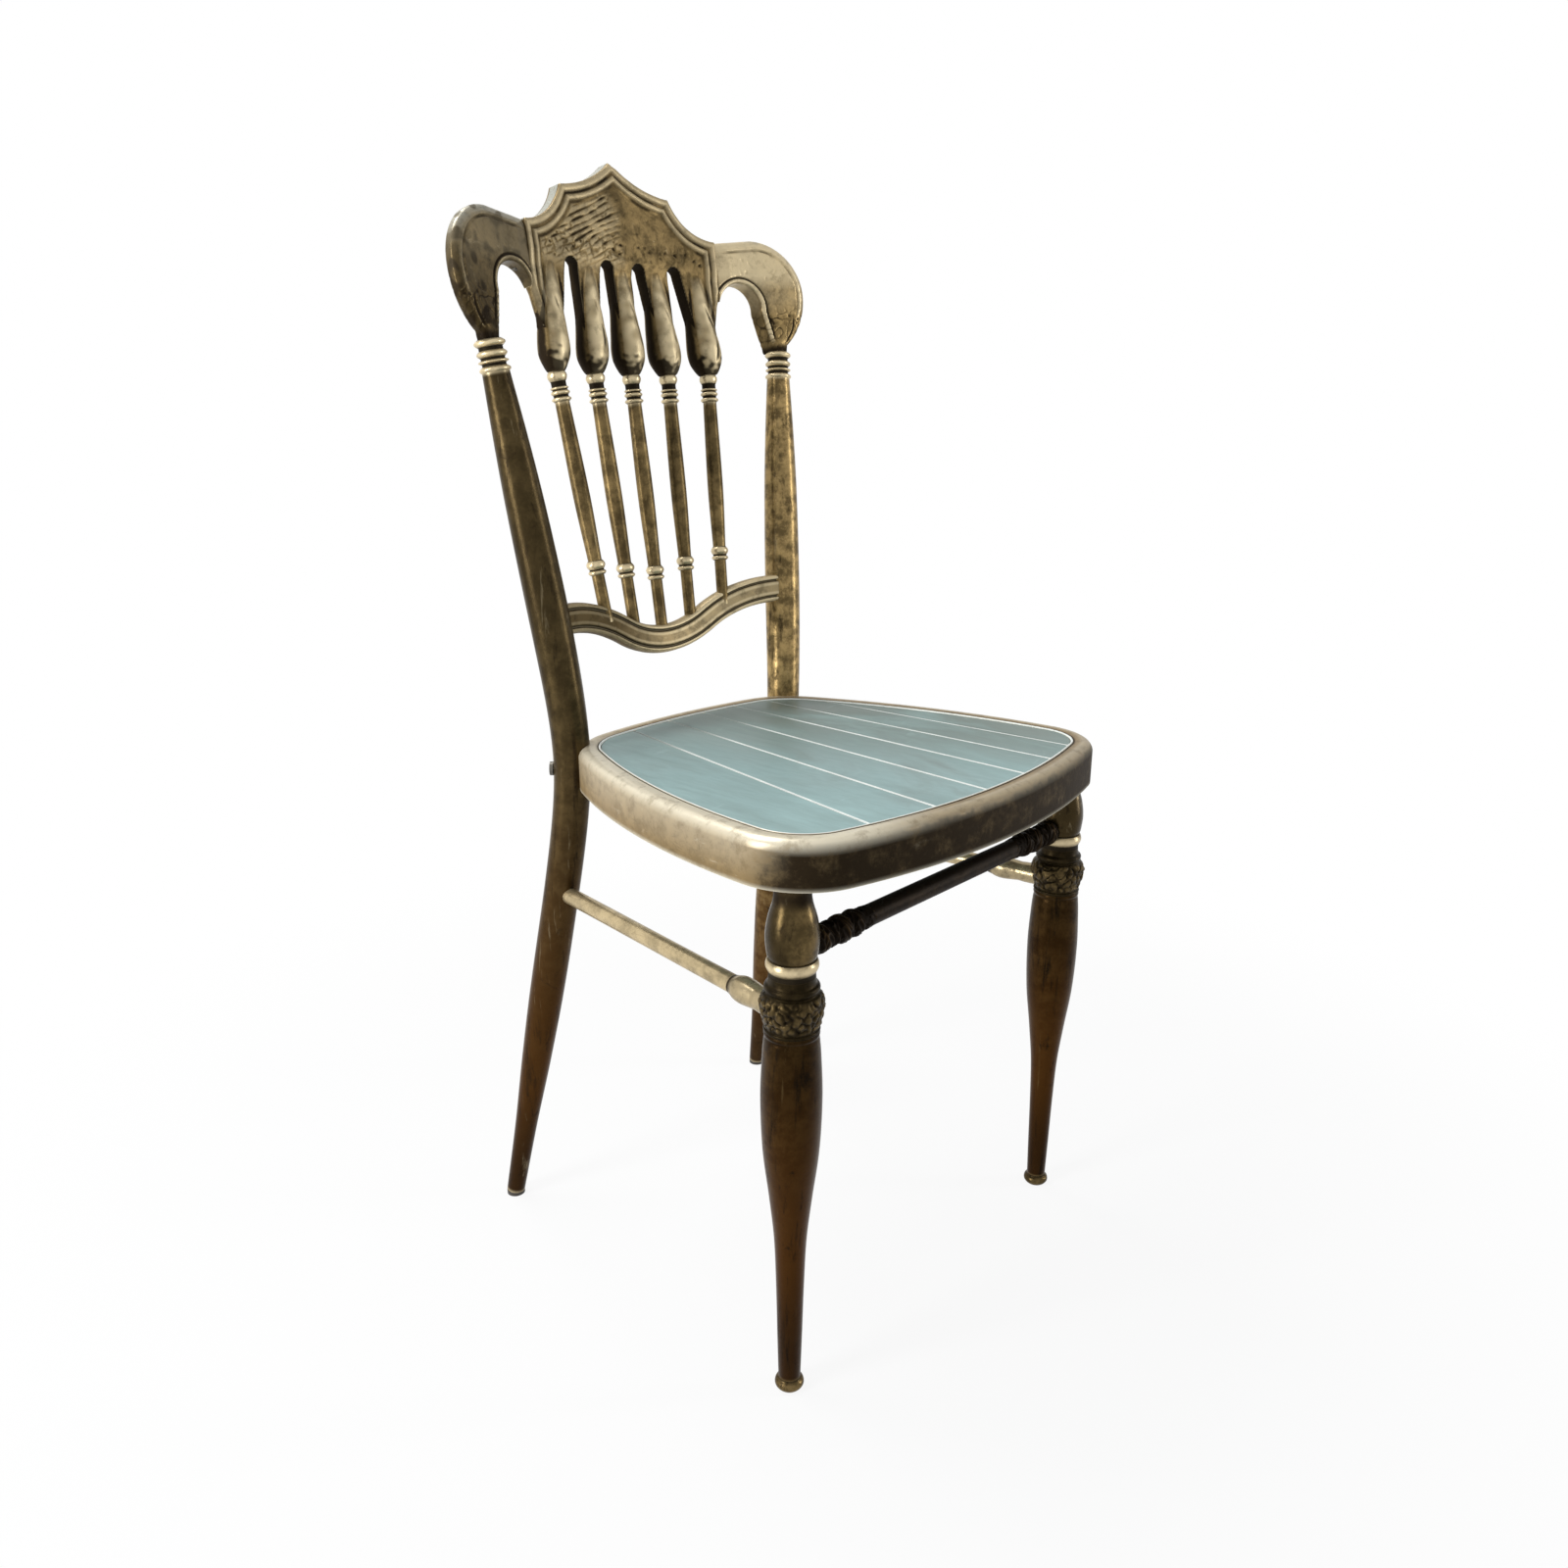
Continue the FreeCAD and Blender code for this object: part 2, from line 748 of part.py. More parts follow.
def fan_point(crossing, depth):
    """Where the ray from the fan's centre through a front crossing lies at a depth."""
    share = (dim["slat_fan_depth"] - depth) / (dim["slat_fan_depth"] + dim["slat_line_depth"])
    return dim["slat_fan_side"] + (crossing - dim["slat_fan_side"]) * share


def slat_centre(number):
    """Front crossing of one slat's middle line."""
    if number == 0:
        return slat_line(0) - dim["slat_first_screw"]
    if number == SLAT_COUNT - 1:
        return slat_line(SLAT_COUNT - 2) + dim["slat_last_screw"]
    return (slat_line(number - 1) + slat_line(number)) / 2


bar_places = {
    "front": dim["bar_front_inset"] - dim["seat_front"],
    "rear": dim["seat_rear"] - dim["bar_rear_inset"],
}


def slat_screw_spots(number):
    """Places of the screws that hold one slat; the last slat is a sliver at the rear bar."""
    centre = slat_centre(number)
    places = [bar_places["front"]]
    if number < SLAT_COUNT - 1:
        places.append(bar_places["rear"])
    return [(fan_point(centre, depth), depth) for depth in places]


def make_slats():
    """The fan of seat slats, each with blind holes for its screws."""
    panel = seat_core("SlatPanel", rim_inner + dim["slat_edge_gap"], slat_under, slat_top)
    front = -dim["seat_front"]
    rear = dim["seat_rear"]
    half_gap = dim["slat_gap"] / 2
    slats = []
    for number in range(SLAT_COUNT):
        outer = dim["seat_half_width"]
        low = (-outer, -outer)
        high = (outer, outer)
        if number > 0:
            line = slat_line(number - 1)
            low = (fan_point(line, front) + half_gap, fan_point(line, rear) + half_gap)
        if number < SLAT_COUNT - 1:
            line = slat_line(number)
            high = (fan_point(line, front) - half_gap, fan_point(line, rear) - half_gap)
        corners = [(low[0], front), (high[0], front), (high[1], rear), (low[1], rear)]
        sketch = outline(f"SlatStrip{number}_outline", corners)
        put(sketch, (zero, zero, slat_under))
        strip = extrude(f"SlatStrip{number}", sketch, FreeCAD.Vector(0, 0, 1), dim["slat_thickness"])
        blank = common(f"SlatBlank{number}", panel, strip)
        holes = []
        for place, (side, depth) in enumerate(slat_screw_spots(number)):
            hole = rod(
                f"SlatHole{number}_{place}",
                dim["screw_radius"] + dim["fit"],
                dim["screw_bite"] + dim["fit"],
                (side, depth, slat_under),
            )
            holes.append(hole)
        slats.append(cut(f"Slat{number}", blank, *holes))
    return slats


def make_bars():
    """Two flat bars that carry the slats and lap under the ledge."""
    lap = seat_core(
        "BarLapCore", ledge_inner - dim["bar_lap"], ledge_under - dim["bar_thickness"], ledge_under
    )
    middle = seat_core("BarMiddleCore", ledge_inner + dim["curve_gap"], ledge_under, slat_under)
    bars = {}
    for key, depth in bar_places.items():
        strip = box(
            f"BarStrip_{key}",
            dim["seat_half_width"] * 2,
            dim["bar_width"],
            dim["rim_height"],
            (-dim["seat_half_width"], depth - dim["bar_width"] / 2, seat_under),
        )
        blank = fuse(
            f"BarBlank_{key}",
            common(f"BarLap_{key}", lap, strip),
            common(f"BarMiddle_{key}", middle, strip),
        )
        holes = []
        held = SLAT_COUNT if key == "front" else SLAT_COUNT - 1
        for number in range(held):
            side = fan_point(slat_centre(number), depth)
            hole = rod(
                f"BarHole_{key}_{number}",
                dim["screw_radius"] + dim["fit"],
                dim["rim_height"],
                (side, depth, seat_under),
            )
            holes.append(hole)
        bars[key] = cut(f"Bar_{key}", blank, group(f"BarHoles_{key}", *holes))
    return bars


def countersunk(name, side, depth, head_under, bite_top):
    """One small screw driven upward, its head below."""
    shank_low = head_under + dim["screw_head_height"]
    head = rod(f"{name}_head", dim["screw_head_radius"], dim["screw_head_height"], (side, depth, head_under))
    shank = rod(f"{name}_shank", dim["screw_radius"], bite_top - shank_low, (side, depth, shank_low))
    return fuse(name, head, shank)


def make_slat_screws():
    """Screws from below through the bars into the slats."""
    head_under = ledge_under - dim["bar_thickness"] - dim["screw_head_height"]
    screws = []
    for number in range(SLAT_COUNT):
        for place, (side, depth) in enumerate(slat_screw_spots(number)):
            name = f"SlatScrew{number}_{place}"
            screws.append(countersunk(name, side, depth, head_under, slat_under + dim["screw_bite"]))
    return group("SlatScrews", *screws)


# Back posts


def bent(foot, waist, top, height):
    """Offset and slope of the post's centre line: two straight runs joined by a soft bend."""
    soft = dim["post_softness"]
    above = dim["post_joint_height"] - dim["post_waist_height"]
    below = dim["post_waist_height"]
    rise_above = hypotenuse(above, soft) - soft
    rise_below = hypotenuse(below, soft) - soft
    bend = (below * (top - waist) + above * (foot - waist)) / (below * rise_above + above * rise_below)
    tilt = (top - waist - bend * rise_above) / above
    away = height - dim["post_waist_height"]
    reach = hypotenuse(away, soft)
    place = waist + tilt * away + bend * (reach - soft)
    slope = tilt + bend * away / reach
    return place, slope


def post_line(height):
    """Side, depth and both slopes of the post's centre line at a height."""
    side, side_slope = bent(dim["post_foot_side"], dim["post_waist_side"], dim["post_top_side"], height)
    depth, depth_slope = bent(dim["post_foot_depth"], dim["post_waist_depth"], dim["post_top_depth"], height)
    return side, depth, side_slope, depth_slope


def post_stations():
    """Heights and radii along the post."""
    names = ("foot", "ankle", "calf", "knee", "thigh", "waist", "belly", "chest", "shoulder", "neck")
    return [(dim[f"post_{name}_height"], dim[f"post_{name}_radius"]) for name in names]


def post_loft(name, growth):
    """Solid along the post's centre line with every radius changed alike."""
    sections = []
    for number, (height, radius) in enumerate(post_stations()):
        side, depth, side_slope, depth_slope = post_line(height)
        lean = (side_slope, depth_slope)
        if number == 0:
            lean = None
        sections.append(circle(f"{name}_section_{number}", radius + growth, (side, depth, height), lean))
    return loft(name, sections)


post_top = dim["post_neck_height"]


def bolt_point(out):
    """Point on the seat bolt's line, a distance outward from the post's centre line."""
    side, depth, _, _ = post_line(dim["bolt_height"])
    return side + seat_bolt_cos * out, depth + seat_bolt_sin * out, dim["bolt_height"]


def side_line():
    """Ends of the side stretcher's centre line: the post's and the front leg's."""
    side, depth, _, _ = post_line(dim["side_stretcher_height"])
    return (side, depth), (dim["leg_side"], -dim["leg_depth"])


def side_way():
    """Direction and length of the side stretcher, from the leg to the post."""
    (post_side, post_depth), (leg_side, leg_depth) = side_line()
    run = (post_side - leg_side, post_depth - leg_depth)
    return run, hypotenuse(*run)


def rail_pin_place():
    """Side, depth and height of the rail pin's middle."""
    height = dim["rail_centre_height"] + dim["rail_rise"] - dim["rail_pin_drop"]
    side, depth, _, _ = post_line(height)
    return side, depth, height


def rail_half_span():
    """Half the width between the ends of the rail's curve."""
    side, _, _ = rail_pin_place()
    return side - dim["rail_end_inset"]


def make_post():
    """The sitter's left back post: a bent tapered tube with its holes."""
    outer = post_loft("PostOuter", zero)
    inner = post_loft("PostInner", -dim["post_wall"])
    run, length = side_way()
    leg = (dim["leg_side"], -dim["leg_depth"], dim["side_stretcher_height"])
    stretcher_hole = rod("PostStretcherHole", dim["side_tube_radius"] + dim["fit"], length, leg, run, True)
    bolt_hole = rod(
        "PostBoltHole",
        dim["bolt_radius"] + dim["fit"],
        dim["post_waist_radius"] * 4,
        bolt_point(-dim["post_waist_radius"] * 2),
        (seat_bolt_cos, seat_bolt_sin),
        True,
    )
    side, depth, height = rail_pin_place()
    pin_hole = rod(
        "PostPinHole",
        dim["rail_pin_radius"] + dim["fit"],
        dim["post_belly_radius"] * 2,
        (side - dim["post_belly_radius"] * 2, depth, height),
        (as_size(1.0), zero),
        True,
    )
    return cut("PostLeft", outer, inner, stretcher_hole, bolt_hole, pin_hole)


def make_glide():
    """Plug with a flat pad in the open end of the post."""
    side, depth, side_slope, depth_slope = post_line(dim["post_foot_height"])
    pad = rod("GlidePad", dim["post_foot_radius"], dim["post_foot_height"], (side, depth, zero))
    stem_radius = dim["post_foot_radius"] - dim["post_wall"] - dim["curve_gap"]
    low = (side, depth, dim["post_foot_height"])
    stem = rod("GlideStem", stem_radius, dim["glide_stem"], low, (side_slope, depth_slope))
    return fuse("GlideLeft", pad, stem)


def make_post_collar():
    """Ringed collar between post and arch."""
    side, depth, side_slope, depth_slope = post_line(post_top)
    ring = dim["collar_ring_radius"]
    groove = dim["collar_groove_radius"]
    length = dim["collar_length"]
    stations = bead(zero, length * 0.2, groove, ring)
    stations += bead(length * 0.27, length * 0.4, groove, ring * 0.97)
    stations += bead(length * 0.46, length * 0.7, groove, ring * 0.97)
    stations += bead(length * 0.8, length, groove, ring)
    blank = turned("CollarBlank", stations, True)
    bore = rod("CollarBore", dim["collar_bore_radius"], length, (zero, zero, zero))
    return put(cut("CollarLeft", blank, bore), (side, depth, post_top), (side_slope, depth_slope))


# Crest, arches and fingers, made on an upright plane and then leaned back


def on_back(thing):
    """Lean a piece made around the origin onto the back plane."""
    return put_turned(thing, (zero, dim["back_depth"], dim["back_height"]), "1; 0; 0", -dim["back_lean"])


def bowed_slab(name, radius, thickness, low, high):
    """Upright slab that bows backward in the middle."""
    slab = []
    for key, change in (("outer", thickness / 2), ("inner", -thickness / 2)):
        drum = rod(f"{name}_{key}", radius + change, high - low, (zero, -radius, low))
        slab.append(drum)
    return cut(name, *slab)


def mirrored_corners(corners):
    """Close a half outline, given from the top middle to the bottom middle, with its mirror image."""
    whole = list(corners)
    for number in range(len(corners) - 1, 0, -1):
        here = corners[number]
        before = corners[number - 1]
        if len(before) == 2:
            whole.append((-here[0], here[1]))
        else:
            whole.append((-here[0], here[1], before[2], before[3]))
    return whole


def crest_corners():
    """Right half of the crest's outline, from the peak to the middle finger."""
    foot = dim["finger_bar_foot"]
    arch = dim["slot_arch_height"]
    half = dim["slot_half_width"]
    outer = dim["slot_outer_side"]
    inner = dim["slot_inner_side"]
    outer_finger = dim["finger_pitch_outer"]
    inner_finger = dim["finger_pitch_inner"]
    bar = dim["finger_waist_radius"]
    return [
        (zero, dim["crest_peak"], dim["crest_inner_scallop_radius"], 1),
        (dim["crest_cusp_side"], dim["crest_cusp"], dim["crest_outer_scallop_radius"], 1),
        (dim["crest_shoulder_side"], dim["crest_shoulder"]),
        (dim["crest_shoulder_side"], dim["crest_wing_foot"]),
        (outer_finger + bar, foot),
        (outer_finger - bar, foot),
        (outer + half, arch, half * 1.06, 1),
        (outer - half, arch),
        (inner_finger + bar * 0.8, foot),
        (inner_finger - bar * 0.8, foot),
        (inner + half, arch, half * 1.06, 1),
        (inner - half, arch),
        (bar * 0.8, foot),
    ]


def make_finger(number, top_side, bottom_side):
    """One hanging finger with its bulb."""
    bow = dim["back_bow_radius"]
    top_depth = bow_depth(top_side, bow)
    bottom_depth = bow_depth(bottom_side, bow)
    rise = dim["finger_top"] + dim["finger_bottom"]
    stations = [
        (zero, dim["finger_tip_radius"]),
        (dim["finger_bulb_height"], dim["finger_bulb_radius"]),
        (dim["finger_waist_height"], dim["finger_waist_radius"]),
        (rise, dim["finger_root_radius"]),
    ]
    finger = turned(f"Finger{number}", stations)
    lean = ((top_side - bottom_side) / rise, (top_depth - bottom_depth) / rise)
    holder = group(f"FingerPlace{number}", finger)
    return put(holder, (bottom_side, bottom_depth, -dim["finger_bottom"]), lean)


def finger_sides(number):
    """Top and bottom places of one finger across the back."""
    order = number - (SPINDLE_COUNT - 1) // 2
    if order == 0:
        return zero, zero
    name = "inner" if abs(order) == 1 else "outer"
    top = dim[f"finger_top_{name}"]
    bottom = dim[f"finger_pitch_{name}"]
    return (top, bottom) if order > 0 else (-top, -bottom)


def back_point(side, depth, height):
    """A point of the upright back after it is leaned back."""
    world_depth = dim["back_depth"] + depth * lean_cos + height * lean_sin
    world_height = dim["back_height"] + height * lean_cos - depth * lean_sin
    return side, world_depth, world_height


def spindle_ends(number):
    """Top and foot of one spindle."""
    _, side = finger_sides(number)
    top = back_point(side, bow_depth(side, dim["back_bow_radius"]), -dim["finger_bottom"])
    order = number - (SPINDLE_COUNT - 1) // 2
    name = "inner" if abs(order) == 1 else "outer"
    foot_side = zero
    if order != 0:
        foot_side = dim[f"spindle_foot_{name}"] if order > 0 else -dim[f"spindle_foot_{name}"]
    rise = foot_side * foot_side / rail_half_span() / rail_half_span() * dim["rail_rise"] * 1.9
    sunk = dim["rail_section_height"] * 0.35
    depth = dim["rail_centre_depth"] + bow_depth(foot_side, dim["rail_bow_radius"])
    foot = (foot_side, depth, dim["rail_centre_height"] + rise - sunk)
    return top, foot


def spindle_way(number):
    """Top point, lean and length of one spindle."""
    top, foot = spindle_ends(number)
    rise = top[2] - foot[2]
    lean = ((top[0] - foot[0]) / rise, (top[1] - foot[1]) / rise)
    length = root(rise * rise + (top[0] - foot[0]) * (top[0] - foot[0]) + (top[1] - foot[1]) * (top[1] - foot[1]))
    return top, foot, lean, length


def make_crest():
    """The cast crest panel with its five fingers."""
    corners = mirrored_corners(crest_corners())
    depth = dim["arch_thickness"] * 6
    plate = upright_plate("CrestPlate", corners, depth)
    slab = bowed_slab(
        "CrestSlab", dim["back_bow_radius"], dim["crest_thickness"], -dim["finger_bottom"], dim["crest_peak"] * 1.2
    )
    pieces = [common("CrestPanel", plate, slab)]
    for number in range(SPINDLE_COUNT):
        top_side, bottom_side = finger_sides(number)
        pieces.append(make_finger(number, top_side, bottom_side))
    blank = on_back(fuse("CrestBlank", *pieces))
    holes = []
    for number in range(SPINDLE_COUNT):
        top, foot, lean, length = spindle_way(number)
        reach = length + dim["tenon_bite"] + dim["curve_gap"]
        holes.append(rod(f"CrestHole{number}", dim["tenon_radius"] + dim["fit"], reach, foot, lean))
    dowel_holes = arch_dowels("CrestDowelHole", dim["fit"], True)
    return cut("CrestPanelCast", blank, group("CrestHoles", *holes, *dowel_holes))


def collar_top():
    """Side, upright height and slope of the seat that the post's collar gives the arch."""
    side, depth, side_slope, depth_slope = post_line(post_top)
    rise = dim["collar_length"] / hypotenuse(hypotenuse(side_slope, depth_slope), as_size(1.0))
    top_side = side + side_slope * rise
    bow = bow_depth(dim["post_top_side"], dim["back_bow_radius"])
    above = post_top + rise - dim["back_height"] + bow * lean_sin
    return top_side, above / lean_cos + dim["arch_neck_lift"], side_slope


def arch_corners():
    """Outline of the swan-neck arch at the sitter's left."""
    contact = dim["crest_shoulder_side"]
    hole_side = dim["arch_hole_side"]
    hole_height = dim["arch_hole_height"]
    hole = dim["arch_hole_radius"]
    contact_rise = root(hole * hole - (hole_side - contact) * (hole_side - contact))
    crown_side = dim["arch_crown_side"]
    crown_height = dim["arch_crown_height"]
    crown = dim["arch_crown_radius"]
    flank = dim["arch_flank_radius"]
    neck, neck_low, slope = collar_top()
    neck_half = dim["arch_neck_half_width"]
    drop = slope * neck_half
    flank_side = crown_side + crown - flank
    flank_height = dim["arch_flank_height"]
    flank_reach = root(flank * flank - (crown_height - flank_height) * (crown_height - flank_height))
    throat = dim["arch_throat_drop"]
    throat_reach = root(hole * hole - throat * throat)
    return [
        (contact, hole_height + contact_rise, hole, -1),
        (hole_side + throat_reach, hole_height - throat),
        (neck - neck_half, neck_low + drop),
        (neck + neck_half, neck_low - drop),
        (flank_side + flank_reach, flank_height, flank, 1),
        (crown_side + crown, crown_height, crown, 1),
        (crown_side, crown_height + crown),
        (contact, dim["crest_shoulder"]),
    ]


def arch_dowels(name, growth, both_sides):
    """Dowels across the joint between crest and arch, made upright and leaned with the back."""
    dowels = []
    for order, height in enumerate((dim["dowel_low_height"], dim["dowel_high_height"])):
        side = dim["crest_shoulder_side"]
        depth = bow_depth(side, dim["back_bow_radius"])
        start = side - dim["dowel_length"] / 2
        for way in (1, -1) if both_sides else (1,):
            low = start if way > 0 else -start - dim["dowel_length"]
            point = back_point(low, depth, height)
            pin = rod(
                f"{name}_{order}_{'left' if way > 0 else 'right'}",
                dim["dowel_radius"] + growth,
                dim["dowel_length"],
                point,
                (as_size(1.0), zero),
                True,
            )
            dowels.append(pin)
    return dowels


def stud_rod(name, growth):
    """Stud through the post collar into the arch."""
    side, depth, side_slope, depth_slope = post_line(post_top)
    length = dim["collar_length"] * 2 - dim["curve_gap"] * 4
    half = dim["collar_length"] / 2
    low = (side - side_slope * half, depth - depth_slope * half, post_top - half)
    return rod(name, dim["collar_bore_radius"] - dim["fit"] + growth, length, low, (side_slope, depth_slope))


def make_arch():
    """The cast arch that carries the crest on the post."""
    plate = upright_plate("ArchPlate", arch_corners(), dim["arch_thickness"] * 6)
    top = dim["arch_crown_height"] + dim["arch_crown_radius"]
    slab = bowed_slab(
        "ArchSlab", dim["back_bow_radius"], dim["arch_thickness"], -dim["finger_bottom"], top * 1.2
    )
    blank = on_back(common("ArchBlank", plate, slab))
    holes = arch_dowels("ArchDowelHole", dim["fit"], False)
    holes.append(stud_rod("ArchStudHole", dim["fit"]))
    return cut("ArchLeft", blank, group("ArchHoles", *holes))


# Spindles


def bead_drop(number, length):
    """How far a spindle's bead lies below the spindle's top."""
    order = abs(number - (SPINDLE_COUNT - 1) // 2)
    name = ("middle", "inner", "outer")[order]
    return length - dim[f"bead_rise_{name}"]


def make_spindle(number):
    """One turned spindle with tenons at both ends."""
    top, foot, lean, length = spindle_way(number)
    drop = bead_drop(number, length)
    half = dim["bead_length"] / 2
    cap = dim["cap_length"]
    shaft = turned(
        f"SpindleShaft{number}",
        [
            (-cap, dim["spindle_neck_radius"]),
            (-dim["spindle_belly_drop"], dim["spindle_belly_radius"]),
            (-drop + half * 1.6, dim["spindle_seat_radius"] + dim["fit"] * 4),
            (-drop + half, dim["spindle_seat_radius"]),
        ],
    )
    seat = rod(f"SpindleSeat{number}", dim["spindle_seat_radius"], half * 2, (zero, zero, -drop - half))
    lower = turned(
        f"SpindleLower{number}",
        [(-drop - half, dim["spindle_foot_radius"]), (-length, dim["spindle_foot_radius"])],
        True,
    )
    bite = dim["tenon_bite"] + cap
    tenon = rod(f"SpindleTenon{number}", dim["tenon_radius"], bite, (zero, zero, -cap))
    return put(fuse(f"Spindle{number}", shaft, seat, lower, tenon), top, lean)


def make_cap(number):
    """Ringed cap between a finger and its spindle."""
    top, foot, lean, length = spindle_way(number)
    ring = dim["cap_ring_radius"]
    groove = dim["cap_groove_radius"]
    cap = dim["cap_length"]
    stations = bead(-cap, -cap * 0.84, groove, ring)
    stations += bead(-cap * 0.78, -cap * 0.62, groove, ring * 0.96)
    stations += bead(-cap * 0.6, -cap * 0.5, groove, ring * 0.93)
    stations += bead(-cap * 0.34, zero, groove, ring)
    blank = turned(f"CapBlank{number}", stations, True)
    bore = rod(f"CapBore{number}", dim["tenon_radius"] + dim["fit"], cap, (zero, zero, -cap))
    return put(cut(f"Cap{number}", blank, bore), top, lean)


def make_bead(number):
    """Double bead low on a spindle."""
    top, foot, lean, length = spindle_way(number)
    drop = bead_drop(number, length)
    half = dim["bead_length"] / 2
    edge = dim["spindle_seat_radius"] + dim["fit"] * 4
    stations = bead(-drop - half, -drop - half * 0.35, edge, dim["bead_radius"] * 0.95)
    stations += bead(-drop - half * 0.25, -drop + half, edge, dim["bead_radius"])
    blank = turned(f"BeadBlank{number}", stations, True)
    bore = rod(
        f"BeadBore{number}", dim["spindle_seat_radius"] + dim["fit"], half * 2, (zero, zero, -drop - half)
    )
    return put(cut(f"Bead{number}", blank, bore), top, lean)


# Lower back rail


def rail_corners():
    """Outline of the cupid's-bow rail around its top middle."""
    rise = dim["rail_rise"]
    span = rail_half_span()
    dip = dim["rail_dip_radius"]
    section = dim["rail_section_height"]
    total = (span * span + rise * rise) / (rise * 2)
    hump = total - dip
    turn_side = span * dip / total
    turn_rise = rise * dip / total
    end = span + dim["rail_reach"]
    low_dip = dip + section
    low_hump = hump - section
    low_side = span * low_dip / total
    low_rise = rise * low_dip / total - section
    return [
        (turn_side, turn_rise, hump, -1),
        (span, rise),
        (end, rise),
        (end, rise - section),
        (span, rise - section, low_hump, 1),
        (low_side, low_rise, low_dip, -1),
        (-low_side, low_rise, low_hump, 1),
        (-span, rise - section),
        (-end, rise - section),
        (-end, rise),
        (-span, rise, hump, -1),
        (-turn_side, turn_rise, dip, 1),
    ]


def make_rail(envelope):
    """The bowed rail between the posts, with holes for pins and spindles."""
    plate = upright_plate("RailPlate", rail_corners(), dim["rail_thickness"] * 8)
    slab = bowed_slab(
        "RailSlab",
        dim["rail_bow_radius"],
        dim["rail_thickness"],
        -dim["rail_section_height"] * 2,
        dim["rail_rise"] * 2,
    )
    blank = common("RailBlank", plate, slab)
    place = (zero, dim["rail_centre_depth"], dim["rail_centre_height"])
    put_turned(blank, place, "1; 0; 0", -dim["back_lean"])
    holes = []
    for number in range(SPINDLE_COUNT):
        top, foot, lean, length = spindle_way(number)
        holes.append(rod(f"RailHole{number}", dim["spindle_foot_radius"] + dim["fit"], length, foot, lean))
    holes += rail_pins("RailPinHole", dim["fit"], dim["curve_gap"])
    posts = [envelope, mirrored("PostEnvelopeRight", envelope)]
    return cut("BackRail", blank, group("RailHoles", *holes), *posts)


def rail_pins(name, growth, extra):
    """Pins from the rail's ends into the posts."""
    side, depth, height = rail_pin_place()
    length = dim["rail_pin_length"]
    inner = side - length
    pins = []
    for key, start in (("left", inner - extra), ("right", -side)):
        pin = rod(
            f"{name}_{key}",
            dim["rail_pin_radius"] + growth,
            length + extra,
            (start, depth, height),
            (as_size(1.0), zero),
            True,
        )
        pins.append(pin)
    return pins


# Front legs, each a stack of turned pieces on a rod


def at_leg(thing):
    """Move a piece to the axis of the sitter's left front leg."""
    return put(thing, (dim["leg_side"], -dim["leg_depth"], zero))


def make_crown():
    """Vase-shaped top of the front leg."""
    blank = turned(
        "CrownBlank",
        [
            (dim["crown_bottom"], dim["crown_foot_radius"]),
            (dim["crown_bulb_height"], dim["crown_bulb_radius"]),
            (dim["crown_hip_height"], dim["crown_hip_radius"]),
            (seat_under, dim["crown_neck_radius"]),
        ],
    )
    bore = rod("CrownBore", dim["leg_bore_radius"], dim["rim_height"] * 3, (zero, zero, dim["crown_bottom"]))
    hole = rod(
        "CrownTenonHole",
        dim["front_tenon_radius"] + dim["fit"],
        dim["crown_bulb_radius"] * 2,
        (-dim["crown_bulb_radius"] * 2, zero, dim["front_stretcher_height"]),
        (as_size(1.0), zero),
        True,
    )
    return at_leg(cut("CrownLeft", blank, bore, hole))


def make_ring():
    """Bright ring under the crown."""
    low = dim["ring_bottom"]
    high = dim["crown_bottom"]
    blank = turned("RingBlank", bead(low, high, dim["ring_edge_radius"], dim["ring_radius"]), True)
    bore = rod("RingBore", dim["knot_bore_radius"], high - low, (zero, zero, low))
    return at_leg(cut("RingLeft", blank, bore))


def knot_stations():
    """Heights and radii of the carved knot."""
    names = ("waist", "leaf", "brow", "throat", "lip")
    middle = [(dim[f"knot_{name}_height"], dim[f"knot_{name}_radius"]) for name in names]
    low = (dim["knot_bottom"], dim["knot_foot_radius"])
    high = (dim["ring_bottom"], dim["ring_edge_radius"])
    return [low, *middle, high]


def make_knot():
    """Carved knot that takes the side stretcher."""
    blank = turned("KnotBlank", knot_stations(), True)
    low = dim["knot_bottom"]
    bore = rod("KnotBore", dim["knot_bore_radius"], dim["ring_bottom"] - low, (zero, zero, low))
    run, length = side_way()
    centre = (zero, zero, dim["side_stretcher_height"])
    hole = rod("KnotHole", dim["side_tube_radius"] + dim["fit"], length, centre, run, True)
    return at_leg(cut("KnotLeft", blank, bore, hole))


def shaft_stations(growth):
    """Heights and radii of the tapered shaft."""
    names = ("ankle", "shin", "calf", "knee", "thigh", "belly")
    middle = [(dim[f"shaft_{name}_height"], dim[f"shaft_{name}_radius"] + growth) for name in names]
    low = (dim["shaft_bottom"], dim["shaft_tip_radius"] + growth)
    high = (dim["knot_bottom"], dim["shaft_top_radius"] + growth)
    return [low, *middle, high]


def make_shaft():
    """Tapered lower part of the front leg, hollow above its tip."""
    outer = turned("ShaftOuter", shaft_stations(zero))
    inner = turned("ShaftInner", shaft_stations(-dim["shaft_wall"]))
    core = rod("ShaftCore", dim["shaft_belly_radius"], dim["shaft_tip_radius"] * 2, (zero, zero, dim["shaft_bottom"]))
    hollow = cut("ShaftHollow", inner, core)
    bore = rod("ShaftBore", dim["rod_radius"] + dim["fit"], dim["shaft_ankle_height"], (zero, zero, zero))
    return at_leg(cut("ShaftLeft", outer, hollow, bore))


